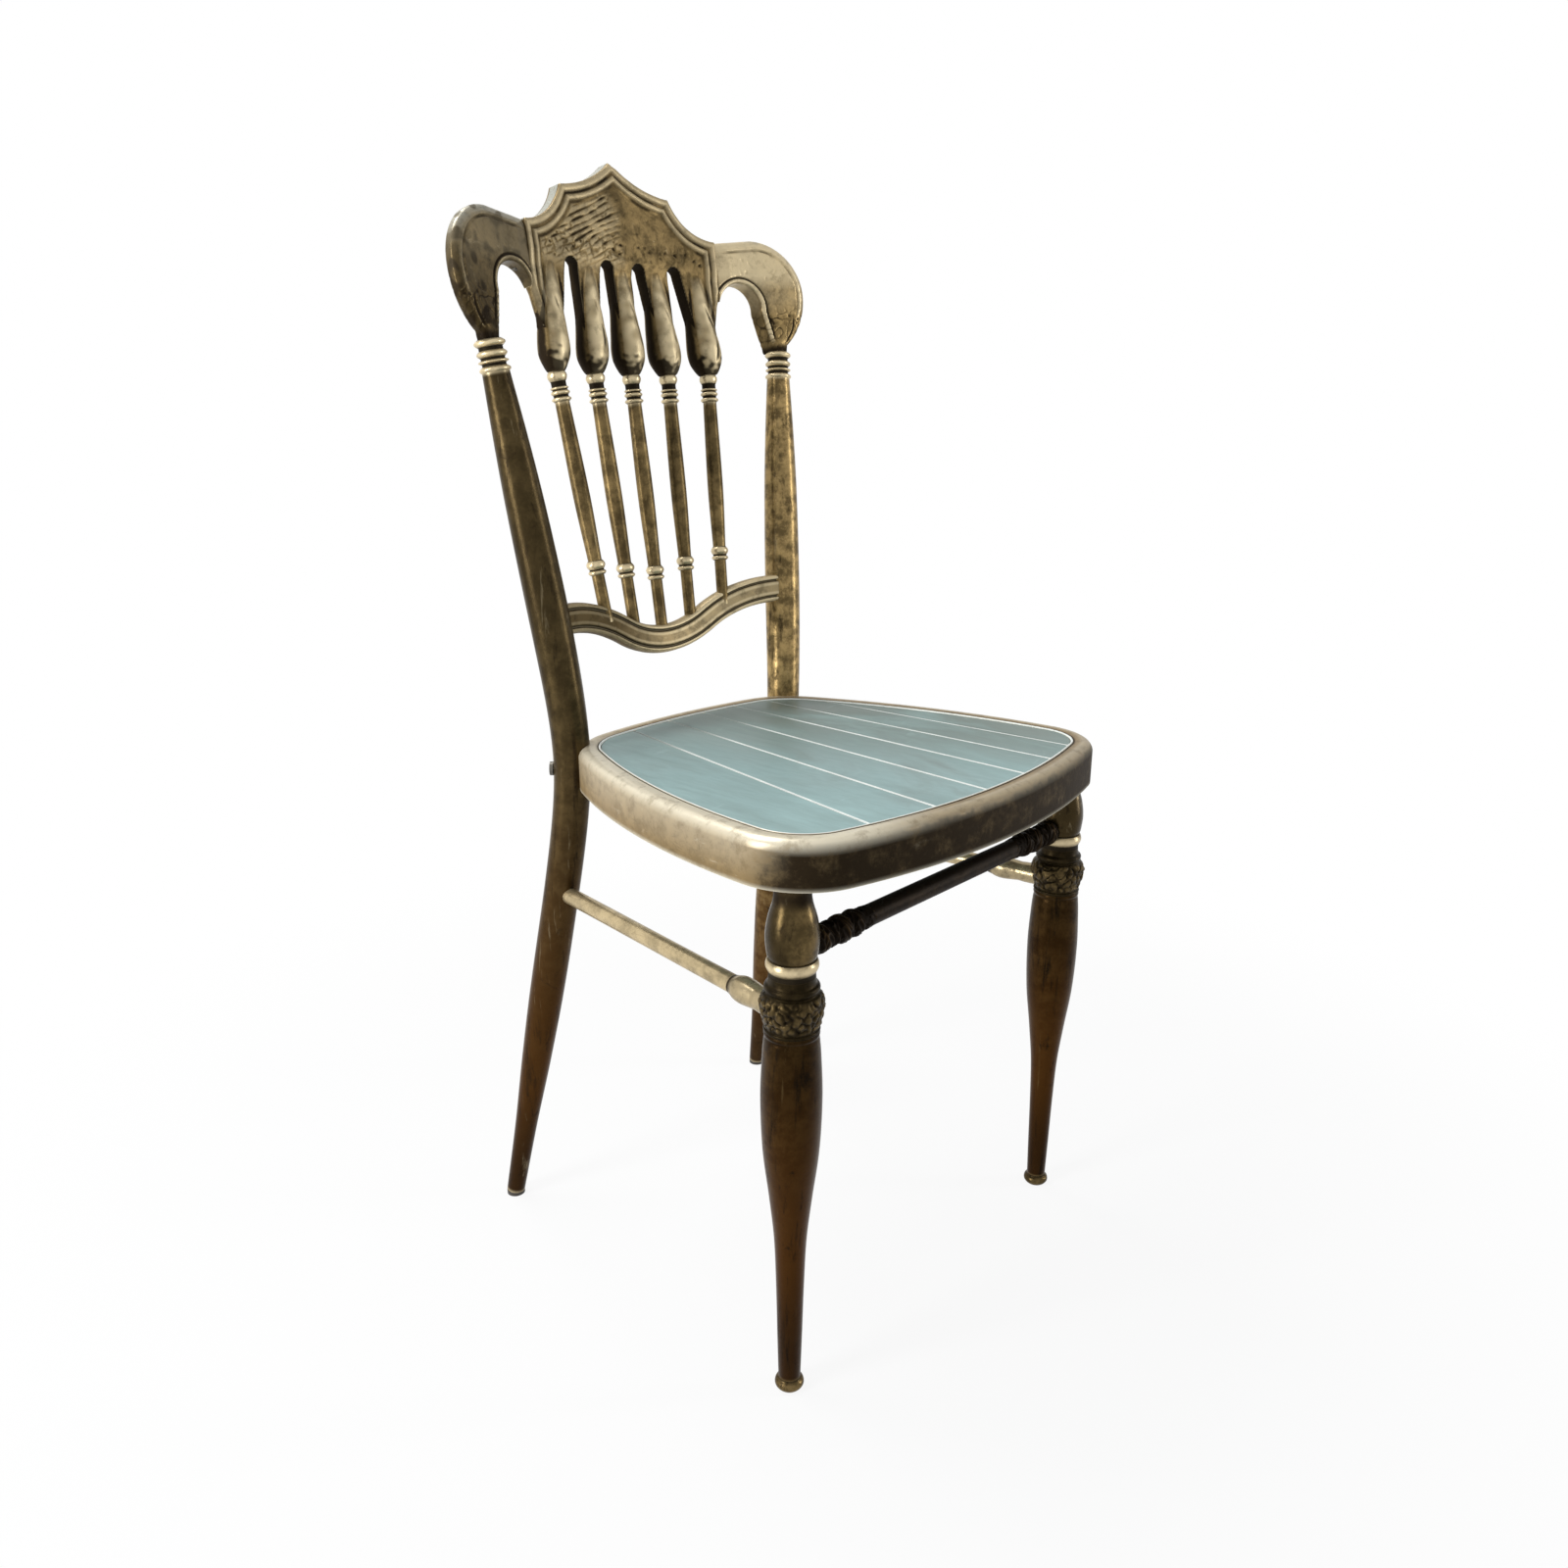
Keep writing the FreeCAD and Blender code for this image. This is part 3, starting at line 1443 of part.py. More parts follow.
def make_foot():
    """Ball foot with a flat pad."""
    blank = turned(
        "FootBlank",
        [
            (zero, dim["foot_pad_radius"]),
            (dim["foot_ball_height"], dim["foot_ball_radius"]),
            (dim["shaft_bottom"], dim["shaft_tip_radius"]),
        ],
    )
    bore = rod(
        "FootBore",
        dim["rod_radius"] + dim["fit"],
        dim["shaft_bottom"],
        (zero, zero, dim["rod_bottom"] - dim["fit"]),
    )
    return at_leg(cut("FootLeft", blank, bore))


def make_leg_rod():
    """Tie rod up the middle of the front leg."""
    length = rod_top - dim["rod_bottom"]
    return rod("LegRodLeft", dim["rod_radius"], length, (dim["leg_side"], -dim["leg_depth"], dim["rod_bottom"]))


bracket_under = ledge_under - dim["bracket_thickness"]


def bracket_screw_spots():
    """Places of the two bracket screws under the ledge."""
    step = rim_inner + dim["ledge_width"] / 2
    beside = (dim["seat_half_width"] - step, -dim["bracket_inner_depth"] - dim["bar_lap"])
    before = (dim["bracket_inner_side"] + dim["bar_lap"], -dim["seat_front"] + step + dim["rim_rounding"] * 1.5)
    return [beside, before]


def make_bracket():
    """Corner plate with a threaded boss for the leg rod."""
    core = seat_core("BracketCore", dim["rim_wall"] + dim["curve_gap"] * 2, bracket_under, ledge_under)
    reach = dim["seat_half_width"] - dim["bracket_inner_side"]
    corner = box(
        "BracketCorner",
        reach,
        dim["seat_front"] - dim["bracket_inner_depth"],
        dim["rim_height"],
        (dim["bracket_inner_side"], -dim["seat_front"], seat_under),
    )
    plate = common("BracketPlate", core, corner)
    leg = (dim["leg_side"], -dim["leg_depth"], seat_under)
    room = seat_core("BracketBossRoom", dim["rim_wall"] + dim["curve_gap"] * 2, seat_under, ledge_under)
    round_boss = rod("BracketBossRound", dim["boss_radius"], ledge_under - seat_under, leg)
    boss = common("BracketBoss", room, round_boss)
    bore = rod(
        "BracketBore",
        dim["rod_radius"] + dim["fit"],
        rod_top - seat_under + dim["fit"],
        leg,
    )
    holes = []
    for number, (side, depth) in enumerate(bracket_screw_spots()):
        place = (side, depth, seat_under)
        holes.append(rod(f"BracketHole{number}", dim["screw_radius"] + dim["fit"], dim["rim_height"], place))
    return cut("BracketLeft", fuse("BracketBlank", plate, boss), bore, *holes)


def make_bracket_screws():
    """Screws that hold both brackets to the ledge."""
    head_under = bracket_under - dim["screw_head_height"]
    screws = []
    for number, (side, depth) in enumerate(bracket_screw_spots()):
        screw = countersunk(f"BracketScrew{number}", side, depth, head_under, slat_under - dim["fit"])
        screws.append(screw)
        screws.append(mirrored(f"BracketScrewRight{number}", screw))
    return group("BracketScrews", *screws)


def cut_ring(ring, envelope):
    """Notch the ring around the posts and drill it for the bracket screws."""
    tools = [envelope, mirrored("RingNotchRight", envelope)]
    for number, (side, depth) in enumerate(bracket_screw_spots()):
        for key, place in (("left", side), ("right", -side)):
            hole = rod(
                f"RingHole{number}_{key}",
                dim["screw_radius"] + dim["fit"],
                dim["ledge_thickness"],
                (place, depth, ledge_under),
            )
            tools.append(hole)
    return cut("SeatRingCut", ring, group("RingTools", *tools))


def make_saddle(envelope):
    """Block inside the ring that the post is bolted to."""
    inner = dim["rim_wall"] + dim["curve_gap"]
    low = ledge_under - dim["saddle_height"]
    core = seat_core("SaddleCore", inner, low, ledge_under)
    side, depth, _, _ = post_line(dim["bolt_height"])
    block = doc.addObject("Part::Box", "SaddleBlock")
    bind(block, "Length", dim["saddle_depth"])
    bind(block, "Width", dim["saddle_width"])
    bind(block, "Height", dim["saddle_height"])
    half = dim["saddle_width"] / 2
    corner_side = side - seat_bolt_cos * dim["saddle_depth"] + seat_bolt_sin * half
    corner_depth = depth - seat_bolt_sin * dim["saddle_depth"] - seat_bolt_cos * half
    put_turned(block, (corner_side, corner_depth, low), "0; 0; 1", dim["saddle_turn"])
    blank = common("SaddleBlank", core, block)
    reach = dim["saddle_depth"] * 2
    hole = rod(
        "SaddleHole",
        dim["bolt_radius"] + dim["fit"],
        reach,
        bolt_point(-reach),
        (seat_bolt_cos, seat_bolt_sin),
        True,
    )
    return cut("SaddleLeft", blank, envelope, hole)


def make_seat_bolts():
    """Bolts from outside through post and saddle."""
    way = (seat_bolt_cos, seat_bolt_sin)
    out = dim["post_waist_radius"]
    inward = dim["saddle_depth"] + dim["nut_height"] + dim["bolt_radius"] / 2
    shank = rod("BoltShank", dim["bolt_radius"], out + inward, bolt_point(-inward), way, True)
    head = rod("BoltHead", dim["bolt_head_radius"], dim["bolt_head_height"], bolt_point(out), way, True)
    bolt = fuse("SeatBoltLeft", shank, head)
    return group("SeatBolts", bolt, mirrored("SeatBoltRight", bolt))


def make_seat_nuts():
    """Hexagon nuts inside the saddles."""
    prism = doc.addObject("Part::Prism", "NutPrism")
    prism.Polygon = 6
    bind(prism, "Circumradius", dim["nut_radius"])
    bind(prism, "Height", dim["nut_height"])
    bore = rod("NutBore", dim["bolt_radius"] + dim["fit"], dim["nut_height"], (zero, zero, zero))
    nut = cut("SeatNutLeft", prism, bore)
    put(nut, bolt_point(-dim["saddle_depth"] - dim["nut_height"]), (seat_bolt_cos, seat_bolt_sin), True)
    return group("SeatNuts", nut, mirrored("SeatNutRight", nut))


# Stretchers


def make_side_stretcher():
    """Tube from the front leg's knot to the back post."""
    run, length = side_way()
    outer_start = dim["knot_waist_radius"] - dim["side_tube_bite"]
    outer_end = length - dim["post_thigh_radius"] + dim["side_tube_bite"]
    reach = outer_end - outer_start
    outer = rod("SideTubeOuter", dim["side_tube_radius"], reach, (zero, zero, outer_start))
    bore = rod("SideTubeBore", dim["side_tube_radius"] - dim["side_tube_wall"], reach, (zero, zero, outer_start))
    tube = cut("SideStretcherLeft", outer, bore)
    leg = (dim["leg_side"], -dim["leg_depth"], dim["side_stretcher_height"])
    return put(tube, leg, run, True)


def make_ferrule():
    """Swelling sleeve where the side stretcher meets the knot."""
    run, length = side_way()
    start = dim["knot_waist_radius"] * 0.6
    face = dim["knot_waist_radius"]
    blank = turned(
        "FerruleBlank",
        [
            (start, dim["ferrule_base_radius"]),
            (face + dim["ferrule_length"] * 0.3, dim["ferrule_base_radius"]),
            (face + dim["ferrule_bulge_place"], dim["ferrule_bulge_radius"]),
            (face + dim["ferrule_length"] * 0.85, dim["ferrule_base_radius"]),
            (face + dim["ferrule_length"], dim["side_tube_radius"] + dim["curve_gap"] * 2),
        ],
    )
    bore = rod(
        "FerruleBore",
        dim["side_tube_radius"] + dim["fit"],
        dim["ferrule_length"] * 2,
        (zero, zero, zero),
    )
    leg = (dim["leg_side"], -dim["leg_depth"], dim["side_stretcher_height"])
    placed = put(cut("FerruleSleeve", blank, bore), leg, run, True)
    stations = [(height, radius + dim["curve_gap"]) for height, radius in knot_stations()]
    knot = at_leg(group("FerruleKnotSpace", turned("FerruleKnot", stations, True)))
    return cut("FerruleLeft", placed, knot)


def make_front_stretcher():
    """Tube between the front legs' crowns, with plugged ends."""
    along = (as_size(1.0), zero)
    depth = -dim["leg_depth"]
    height = dim["front_stretcher_height"]
    face = dim["crown_bulb_radius"] + dim["curve_gap"]
    step = face + dim["front_tenon_bite"]
    half = dim["leg_side"] - step
    outer = rod("FrontTubeOuter", dim["front_tube_radius"], half * 2, (-half, depth, height), along, True)
    bore_half = half - dim["front_tenon_bite"]
    inner_radius = dim["front_tube_radius"] - dim["front_tube_wall"]
    bore = rod("FrontTubeBore", inner_radius, bore_half * 2, (-bore_half, depth, height), along, True)
    tenon_half = dim["leg_side"] - dim["crown_bulb_radius"] + dim["front_tenon_bite"]
    tenon = rod("FrontTenon", dim["front_tenon_radius"], tenon_half * 2, (-tenon_half, depth, height), along, True)
    tenons = cut("FrontTenons", tenon, rod(
        "FrontTenonGap", dim["front_tube_radius"], bore_half * 2, (-bore_half, depth, height), along, True
    ))
    tube = cut("FrontTube", outer, bore)
    return fuse("FrontStretcher", tube, tenons)


def make_knuckle():
    """Beaded sleeve at the end of the front stretcher."""
    face = dim["crown_bulb_radius"] + dim["curve_gap"]
    length = dim["knuckle_length"]
    ring = dim["knuckle_ring_radius"]
    groove = dim["knuckle_groove_radius"]
    end = dim["front_tube_radius"] + dim["curve_gap"] * 2
    stations = bead(face, face + length * 0.24, groove, ring)
    stations += bead(face + length * 0.26, face + length * 0.36, groove, ring * 0.94)
    stations += bead(face + length * 0.38, face + length * 0.6, groove, ring)
    stations += bead(face + length * 0.62, face + length * 0.8, groove, ring * 0.97)
    stations += [(face + length, end)]
    blank = turned("KnuckleBlank", stations, True)
    step = face + dim["front_tenon_bite"]
    tube_space = rod(
        "KnuckleTubeSpace", dim["front_tube_radius"] + dim["fit"], length * 2, (zero, zero, step - dim["fit"])
    )
    tenon_space = rod("KnuckleTenonSpace", dim["front_tenon_radius"] + dim["fit"], length, (zero, zero, zero))
    sleeve = cut("KnuckleLeft", blank, tube_space, tenon_space)
    leg = (dim["leg_side"], -dim["leg_depth"], dim["front_stretcher_height"])
    return put(sleeve, leg, (as_size(-1.0), zero), True)


# Assembly


def build():
    """Make every piece and return the finished ones by name."""
    nodes = {}
    envelope = post_loft("PostEnvelope", dim["curve_gap"])
    nodes["seat_frame"] = cut_ring(make_seat_ring(), envelope)
    for number, slat in enumerate(make_slats(), start=1):
        nodes[f"seat_slat_{number}"] = slat
    bars = make_bars()
    nodes["seat_bar_front"] = bars["front"]
    nodes["seat_bar_rear"] = bars["rear"]
    nodes["slat_screws"] = make_slat_screws()
    nodes["bracket_screws"] = make_bracket_screws()
    nodes["seat_bolts"] = make_seat_bolts()
    nodes["seat_nuts"] = make_seat_nuts()
    nodes["crest_panel"] = make_crest()
    for number in range(SPINDLE_COUNT):
        nodes[f"back_spindle_{number + 1}"] = make_spindle(number)
        nodes[f"spindle_cap_{number + 1}"] = make_cap(number)
    nodes["spindle_beads"] = group("SpindleBeads", *[make_bead(number) for number in range(SPINDLE_COUNT)])
    nodes["back_rail"] = make_rail(envelope)
    nodes["rail_pins"] = group("RailPins", *rail_pins("RailPin", zero, zero))
    nodes["crest_dowels"] = group("CrestDowels", *arch_dowels("CrestDowel", zero, True))
    nodes["front_stretcher"] = make_front_stretcher()
    rods = make_leg_rod()
    nodes["leg_rods"] = group("LegRods", rods, mirrored("LegRodRight", rods))
    stud = stud_rod("ArchStudLeft", zero)
    nodes["arch_studs"] = group("ArchStuds", stud, mirrored("ArchStudRight", stud))
    pairs = {
        "back_post": make_post(),
        "post_glide": make_glide(),
        "post_collar": make_post_collar(),
        "crest_arch": make_arch(),
        "post_saddle": make_saddle(envelope),
        "leg_bracket": make_bracket(),
        "leg_crown": make_crown(),
        "leg_ring": make_ring(),
        "leg_knot": make_knot(),
        "leg_shaft": make_shaft(),
        "leg_foot": make_foot(),
        "side_stretcher": make_side_stretcher(),
        "side_ferrule": make_ferrule(),
        "stretcher_knuckle": make_knuckle(),
    }
    for name, piece in pairs.items():
        nodes[f"{name}_left"] = piece
        nodes[f"{name}_right"] = mirrored(f"{piece.Name}Mirror", piece)
    for name, piece in nodes.items():
        piece.Label = name
    return nodes


def check(nodes):
    """Stop if any object failed or any piece is not a sound solid."""
    failed = [thing.Name for thing in doc.Objects if "Invalid" in thing.State or "Error" in thing.State]
    for name, piece in nodes.items():
        shape = piece.Shape
        if shape.isNull() or not shape.isValid() or not shape.Solids:
            failed.append(name)
    if failed:
        raise RuntimeError("these did not compute: " + ", ".join(failed))


nodes = build()
doc.recompute()
check(nodes)
os.makedirs("parts", exist_ok=True)
for name, piece in nodes.items():
    piece.Shape.exportStep(f"parts/{name}.step")
    print(name, len(piece.Shape.Solids), round(piece.Shape.Volume / 1000.0, 2))
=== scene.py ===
import math

import bmesh
import bpy
import numpy as np
from bpy.props import FloatProperty, FloatVectorProperty, IntProperty, PointerProperty
from mathutils import Matrix, Vector, noise


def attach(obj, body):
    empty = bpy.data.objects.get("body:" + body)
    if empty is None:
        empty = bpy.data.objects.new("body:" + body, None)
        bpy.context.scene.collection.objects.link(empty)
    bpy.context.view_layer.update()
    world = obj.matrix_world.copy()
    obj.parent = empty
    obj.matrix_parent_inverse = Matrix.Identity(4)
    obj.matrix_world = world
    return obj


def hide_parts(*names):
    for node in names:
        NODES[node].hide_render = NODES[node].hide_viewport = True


bl_info = {
    "name": "Metal Bistro Chair",
    "version": (1, 0, 0),
    "blender": (4, 5, 0),
    "location": "3D View > Sidebar > Chair",
    "description": "Dresses the chair's frame with cast, turned and painted pieces",
    "category": "Object",
}

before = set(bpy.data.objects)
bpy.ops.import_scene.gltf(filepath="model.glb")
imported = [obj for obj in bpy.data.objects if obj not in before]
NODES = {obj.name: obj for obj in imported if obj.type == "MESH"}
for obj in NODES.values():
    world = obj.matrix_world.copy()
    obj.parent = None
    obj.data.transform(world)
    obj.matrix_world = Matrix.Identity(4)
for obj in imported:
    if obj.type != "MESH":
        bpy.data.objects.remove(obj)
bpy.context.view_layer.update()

# Lengths in this file are millimetres unless a name says otherwise; MM turns them into metres.
MM = 0.001
# The crest and its arches are made flat and upright, then bowed and leaned back onto the posts.
LEAN = math.radians(9.4)
BACK_DEPTH = 192.7
BACK_HEIGHT = 782.5
BACK_BOW = 558.0
# +X is the sitter's left.
SIDES = (("left", 1.0), ("right", -1.0))


# Settings a user would change

def colour(name, description, default):
    """A colour setting."""
    return FloatVectorProperty(
        name=name, description=description, default=default, subtype="COLOR", size=3, min=0.0, max=1.0
    )


def length(name, description, default):
    """A setting in metres."""
    return FloatProperty(name=name, description=description, default=default, min=0.0, unit="LENGTH")


def strength(name, description, default):
    """A lamp's power setting."""
    return FloatProperty(name=name, description=description, default=default, min=0.0, unit="POWER")


class ChairFinish(bpy.types.PropertyGroup):
    """Colours of the chair's paints."""

    gold: colour("Antique gold", "Gold paint on the castings and tubes", (0.205, 0.142, 0.060))
    # The worn gold also serves as painted highlight where a mesh's marks ask for one.
    bright: colour("Worn gold and highlight", "Gold rubbed bright along edges and rings", (0.74, 0.61, 0.38))
    # The white gold is the painted highlight on the seat rim's top and bead.
    white_gold_highlight: colour("White gold", "Pale gold painted as highlights on the seat's rim", (0.84, 0.78, 0.62))
    # The silver is a painted highlight along the top edges of the crest and the arches.
    silver: colour("Silver highlight", "Silver-grey painted highlight on top of the castings", (0.36, 0.37, 0.33))
    # The patina darkens the hollows and also colours painted shade.
    patina_and_shade: colour("Patina", "Dark brown of the hollows and of painted shade", (0.014, 0.009, 0.005))
    umber: colour("Umber", "Warm brown that shows low on the legs", (0.064, 0.025, 0.005))
    olive: colour("Olive gold", "Greener gold of the seat rim", (0.265, 0.188, 0.092))
    slat: colour("Slat paint", "Blue-grey paint of the seat slats", (0.185, 0.232, 0.205))
    # The slat edge colour is a painted highlight along the slats' and the panel's edges.
    slat_edge_highlight: colour("Slat edge", "Pale painted highlight along the slats' edges", (0.80, 0.84, 0.80))
    zinc: colour("Zinc", "Plated screws, bolts and nuts", (0.16, 0.15, 0.13))


class ChairShape(bpy.types.PropertyGroup):
    """Sizes of the ornament."""

    relief: length("Moulding height", "How far the mouldings stand above the cast field", 0.0012)
    pits: length("Casting roughness", "Depth of the castings' pits and tool marks", 0.0009)
    leaf: length("Leaf height", "How far the carved leaves stand out on the leg knots", 0.0021)
    leaves: IntProperty(name="Leaves", description="Leaves in each row around a leg knot", default=11, min=5, max=16)
    slat_edge: length("Slat edge", "Width of the rounded edge of each slat", 0.0010)


class StageLook(bpy.types.PropertyGroup):
    """Light and camera."""

    key: strength("Key light", "Strength of the large soft light on the left", 74.0)
    fill: strength("Fill light", "Strength of the soft light on the right", 28.0)
    top: strength("Top light", "Strength of the soft light overhead", 34.0)
    lens: FloatProperty(
        name="Focal length", description="Lens of the camera", default=29.02, min=1.0, unit="CAMERA"
    )


# Nodes

EVEN = (1.0, 1.0, 1.0)
STILL = (0.0, 0.0, 0.0)
WHITE = (1.0, 1.0, 1.0)


class Wiring:
    """The nodes of one material or world, built step by step."""

    def __init__(self, owner, output):
        owner.use_nodes = True
        self.tree = owner.node_tree
        self.tree.nodes.clear()
        self.output = self.node(output)

    def node(self, kind, **values):
        """Add a node and set its options."""
        made = self.tree.nodes.new(kind)
        for name, value in values.items():
            setattr(made, name, value)
        return made

    def link(self, source, target):
        """Join an output to an input."""
        self.tree.links.new(source, target)

    def put(self, target, value):
        """Link a socket or set a number, vector or colour."""
        if isinstance(value, bpy.types.NodeSocket):
            self.link(value, target)
        elif hasattr(value, "__len__") and len(value) == 3 and len(target.default_value) == 4:
            target.default_value = (*value, 1.0)
        else:
            target.default_value = value

    def maths(self, operation, one, two, clamp=False):
        """Result of one operation on two numbers."""
        made = self.node("ShaderNodeMath", operation=operation, use_clamp=clamp)
        self.put(made.inputs[0], one)
        self.put(made.inputs[1], two)
        return made.outputs["Value"]

    def show(self, share, first, second):
        """Mix two shaders by a share and give the result out."""
        made = self.node("ShaderNodeMixShader")
        self.link(share, made.inputs["Fac"])
        self.link(first, made.inputs[1])
        self.link(second, made.inputs[2])
        self.link(made.outputs["Shader"], self.output.inputs["Surface"])


class Paint(Wiring):
    """One node material."""

    def __init__(self, name):
        self.material = bpy.data.materials.new(name)
        super().__init__(self.material, "ShaderNodeOutputMaterial")

    def spot(self):
        """Object coordinates, which are metres in the chair's frame."""
        return self.node("ShaderNodeTexCoord").outputs["Object"]

    def along(self, axis):
        """Place along X, Y or Z in metres."""
        parts = self.node("ShaderNodeSeparateXYZ")
        self.link(self.spot(), parts.inputs["Vector"])
        return parts.outputs[axis]

    def place(self, scale=EVEN, turn=STILL):
        """Object coordinates, scaled and turned."""
        moved = self.node("ShaderNodeMapping")
        moved.inputs["Scale"].default_value = scale
        moved.inputs["Rotation"].default_value = turn
        self.link(self.spot(), moved.inputs["Vector"])
        return moved.outputs["Vector"]

    def noise(self, scale, detail=4.0, rough=0.6, stretch=EVEN, turn=STILL, twist=0.0):
        """Soft noise from 0 to 1."""
        made = self.node("ShaderNodeTexNoise")
        made.inputs["Scale"].default_value = scale
        made.inputs["Detail"].default_value = detail
        made.inputs["Roughness"].default_value = rough
        made.inputs["Distortion"].default_value = twist
        self.link(self.place(stretch, turn), made.inputs["Vector"])
        return made.outputs["Fac"]

    def cells(self, scale):
        """Distance to the nearest of scattered points."""
        made = self.node("ShaderNodeTexVoronoi", feature="F1")
        made.inputs["Scale"].default_value = scale
        self.link(self.place(), made.inputs["Vector"])
        return made.outputs["Distance"]

    def span(self, value, low, high, first=0.0, last=1.0, smooth=True):
        """Map a value from one range to another, clamped."""
        made = self.node("ShaderNodeMapRange")
        if smooth:
            made.interpolation_type = "SMOOTHSTEP"
        self.put(made.inputs["Value"], value)
        made.inputs["From Min"].default_value = low
        made.inputs["From Max"].default_value = high
        made.inputs["To Min"].default_value = first
        made.inputs["To Max"].default_value = last
        return made.outputs["Result"]

    def mix(self, share, first, second):
        """Mix two colours by a share."""
        made = self.node("ShaderNodeMix", data_type="RGBA", blend_type="MIX")
        self.put(made.inputs["Factor"], share)
        self.put(made.inputs["A"], first)
        self.put(made.inputs["B"], second)
        return made.outputs["Result"]

    def wear(self, low, high):
        """1 on worn edges, 0 elsewhere."""
        shape = self.node("ShaderNodeNewGeometry")
        return self.span(shape.outputs["Pointiness"], low, high)

    def mark(self, name):
        """A number kept on the mesh, such as how dark a hollow or a painted shade is."""
        return self.node("ShaderNodeAttribute", attribute_name=name).outputs["Fac"]

    def bump(self, value, distance, strength=1.0, under=None):
        """Normal roughened by a value, over another normal."""
        made = self.node("ShaderNodeBump")
        made.inputs["Strength"].default_value = strength
        made.inputs["Distance"].default_value = distance
        self.put(made.inputs["Height"], value)
        if under is not None:
            self.link(under, made.inputs["Normal"])
        return made.outputs["Normal"]

    def finish(self, base, metallic, roughness, normal=None, specular=0.5):
        """The finished material."""
        shader = self.node("ShaderNodeBsdfPrincipled")
        self.put(shader.inputs["Base Color"], base)
        self.put(shader.inputs["Metallic"], metallic)
        self.put(shader.inputs["Roughness"], roughness)
        shader.inputs["Specular IOR Level"].default_value = specular
        if normal is not None:
            self.link(normal, shader.inputs["Normal"])
        self.link(shader.outputs["BSDF"], self.output.inputs["Surface"])
        return self.material


# Paints

# Share of the gold left in its clouds and on its side painted in shade.
CLOUD_TONE = 0.24
SIDE_SHADE_TONE = 0.11
# Heights in metres: the umber is fullest below the first, and the paint darkens towards the feet from the second to the
# third.
UMBER_FULL = 0.10
FOOT_DARK_TOP = 0.14
FOOT_DARK_FULL = 0.03
# Depth in metres of the paint's grain, for shading alone, and its gloss, so low that a pale room doesn't grey it.
PAINT_BUMP = 0.0005
GOLD_GLOSS = 0.02


def shade(tone, share):
    """A colour made evenly darker or lighter."""
    return tuple(part * share for part in tone)


def antique_gold(name, tones, grain=EVEN, dirt=0.5, umber=None, low=0.45, roughness=0.38, metallic=0.35,
                 scale=110.0, cloudy=0.5, side_shade=None, spread=0.45):
    """Gold paint over dark brown: soft clouds, fine scratches, specks, dark hollows and bright edges.

    The tones are the gold, the dark of hollows and of painted shade, the worn gold that also serves as painted
    highlight and, for a mesh that carries marks, the silver of a painted highlight.
    Umber browns the paint below the height low, and side_shade gives how dark the painted shade on the right and the
    left side is.
    """
    gold, dark, bright, *silver = tones
    paint = Paint(name)
    clouds = paint.noise(9.0, 3.0, 0.55, (1.0, 1.0, 0.6), twist=0.3)
    mottle = paint.noise(70.0, 5.0, 0.72)
    streaks = paint.noise(scale, 6.0, 0.68, grain, twist=0.3)
    spots = paint.noise(34.0, 6.0, 0.72, (1.0, 1.0, 0.8), twist=0.8)
    specks = paint.noise(520.0, 3.0, 0.75)

    pale = tuple(min(1.0, part) for part in shade(gold, 1.0 + spread))
    base = paint.mix(paint.span(mottle, 0.36, 0.64), shade(gold, 1.0 - spread), pale)
    base = paint.mix(paint.span(clouds, 0.42, 0.64, 0.0, cloudy), base, shade(gold, CLOUD_TONE))
    if side_shade is not None:
        # Painted shade darkens the paint towards the chair's right side.
        base = paint.mix(paint.span(paint.along("X"), -0.15, 0.15, *side_shade), base, shade(gold, SIDE_SHADE_TONE))
    if umber is not None:
        base = paint.mix(paint.span(paint.along("Z"), low, UMBER_FULL, 0.0, 0.88), base, umber)
        base = paint.mix(paint.span(paint.along("Z"), FOOT_DARK_TOP, FOOT_DARK_FULL, 0.0, 0.60), base, dark)
    base = paint.mix(paint.span(streaks, 0.40, 0.28, 0.0, 0.20), base, bright)

    scratched = paint.span(streaks, 0.54, 0.68, 0.0, dirt)
    spotted = paint.span(spots, 0.57, 0.70, 0.0, dirt)
    speckled = paint.span(specks, 0.3, 0.6, 0.5, 1.0)
    dirt_and_shade = paint.maths("MULTIPLY", paint.maths("MAXIMUM", scratched, spotted), speckled)
    base = paint.mix(dirt_and_shade, base, dark)

    # The marks lay dark patina in hollows together with painted shade, rubbed wear together with painted highlights,
    # and a painted silver highlight.
    if silver:
        torn = paint.span(mottle, 0.3, 0.7, -0.20, 0.20, smooth=False)
        sunk = paint.span(paint.maths("ADD", paint.mark("hollow"), torn, clamp=True), 0.10, 0.75)
        rubbed = paint.maths("MULTIPLY", paint.mark("rubbed"), paint.span(mottle, 0.30, 0.52, 0.50, 0.92))
        # A painted silver highlight where the mesh is marked for it.
        silver_sheen = paint.maths("MULTIPLY", paint.mark("silver"), paint.span(specks, 0.3, 0.6, 0.55, 1.0))
        base = paint.mix(silver_sheen, base, silver[0])
        base = paint.mix(paint.maths("MULTIPLY", sunk, 0.96), base, dark)
        base = paint.mix(rubbed, base, bright)
        # From here the dark share holds painted shade as well as dirt.
        dirt_and_shade = paint.maths("MAXIMUM", dirt_and_shade, sunk)
    base = paint.mix(paint.wear(0.525, 0.60), base, bright)

    metal = paint.span(dirt_and_shade, 0.1, 0.9, metallic, metallic * 0.25)
    rough = paint.span(dirt_and_shade, 0.0, 1.0, roughness, roughness + 0.16)
    normal = paint.bump(specks, PAINT_BUMP * 0.4, 0.4)
    normal = paint.bump(mottle, PAINT_BUMP, 0.4, normal)
    return paint.finish(base, metal, rough, normal, GOLD_GLOSS)


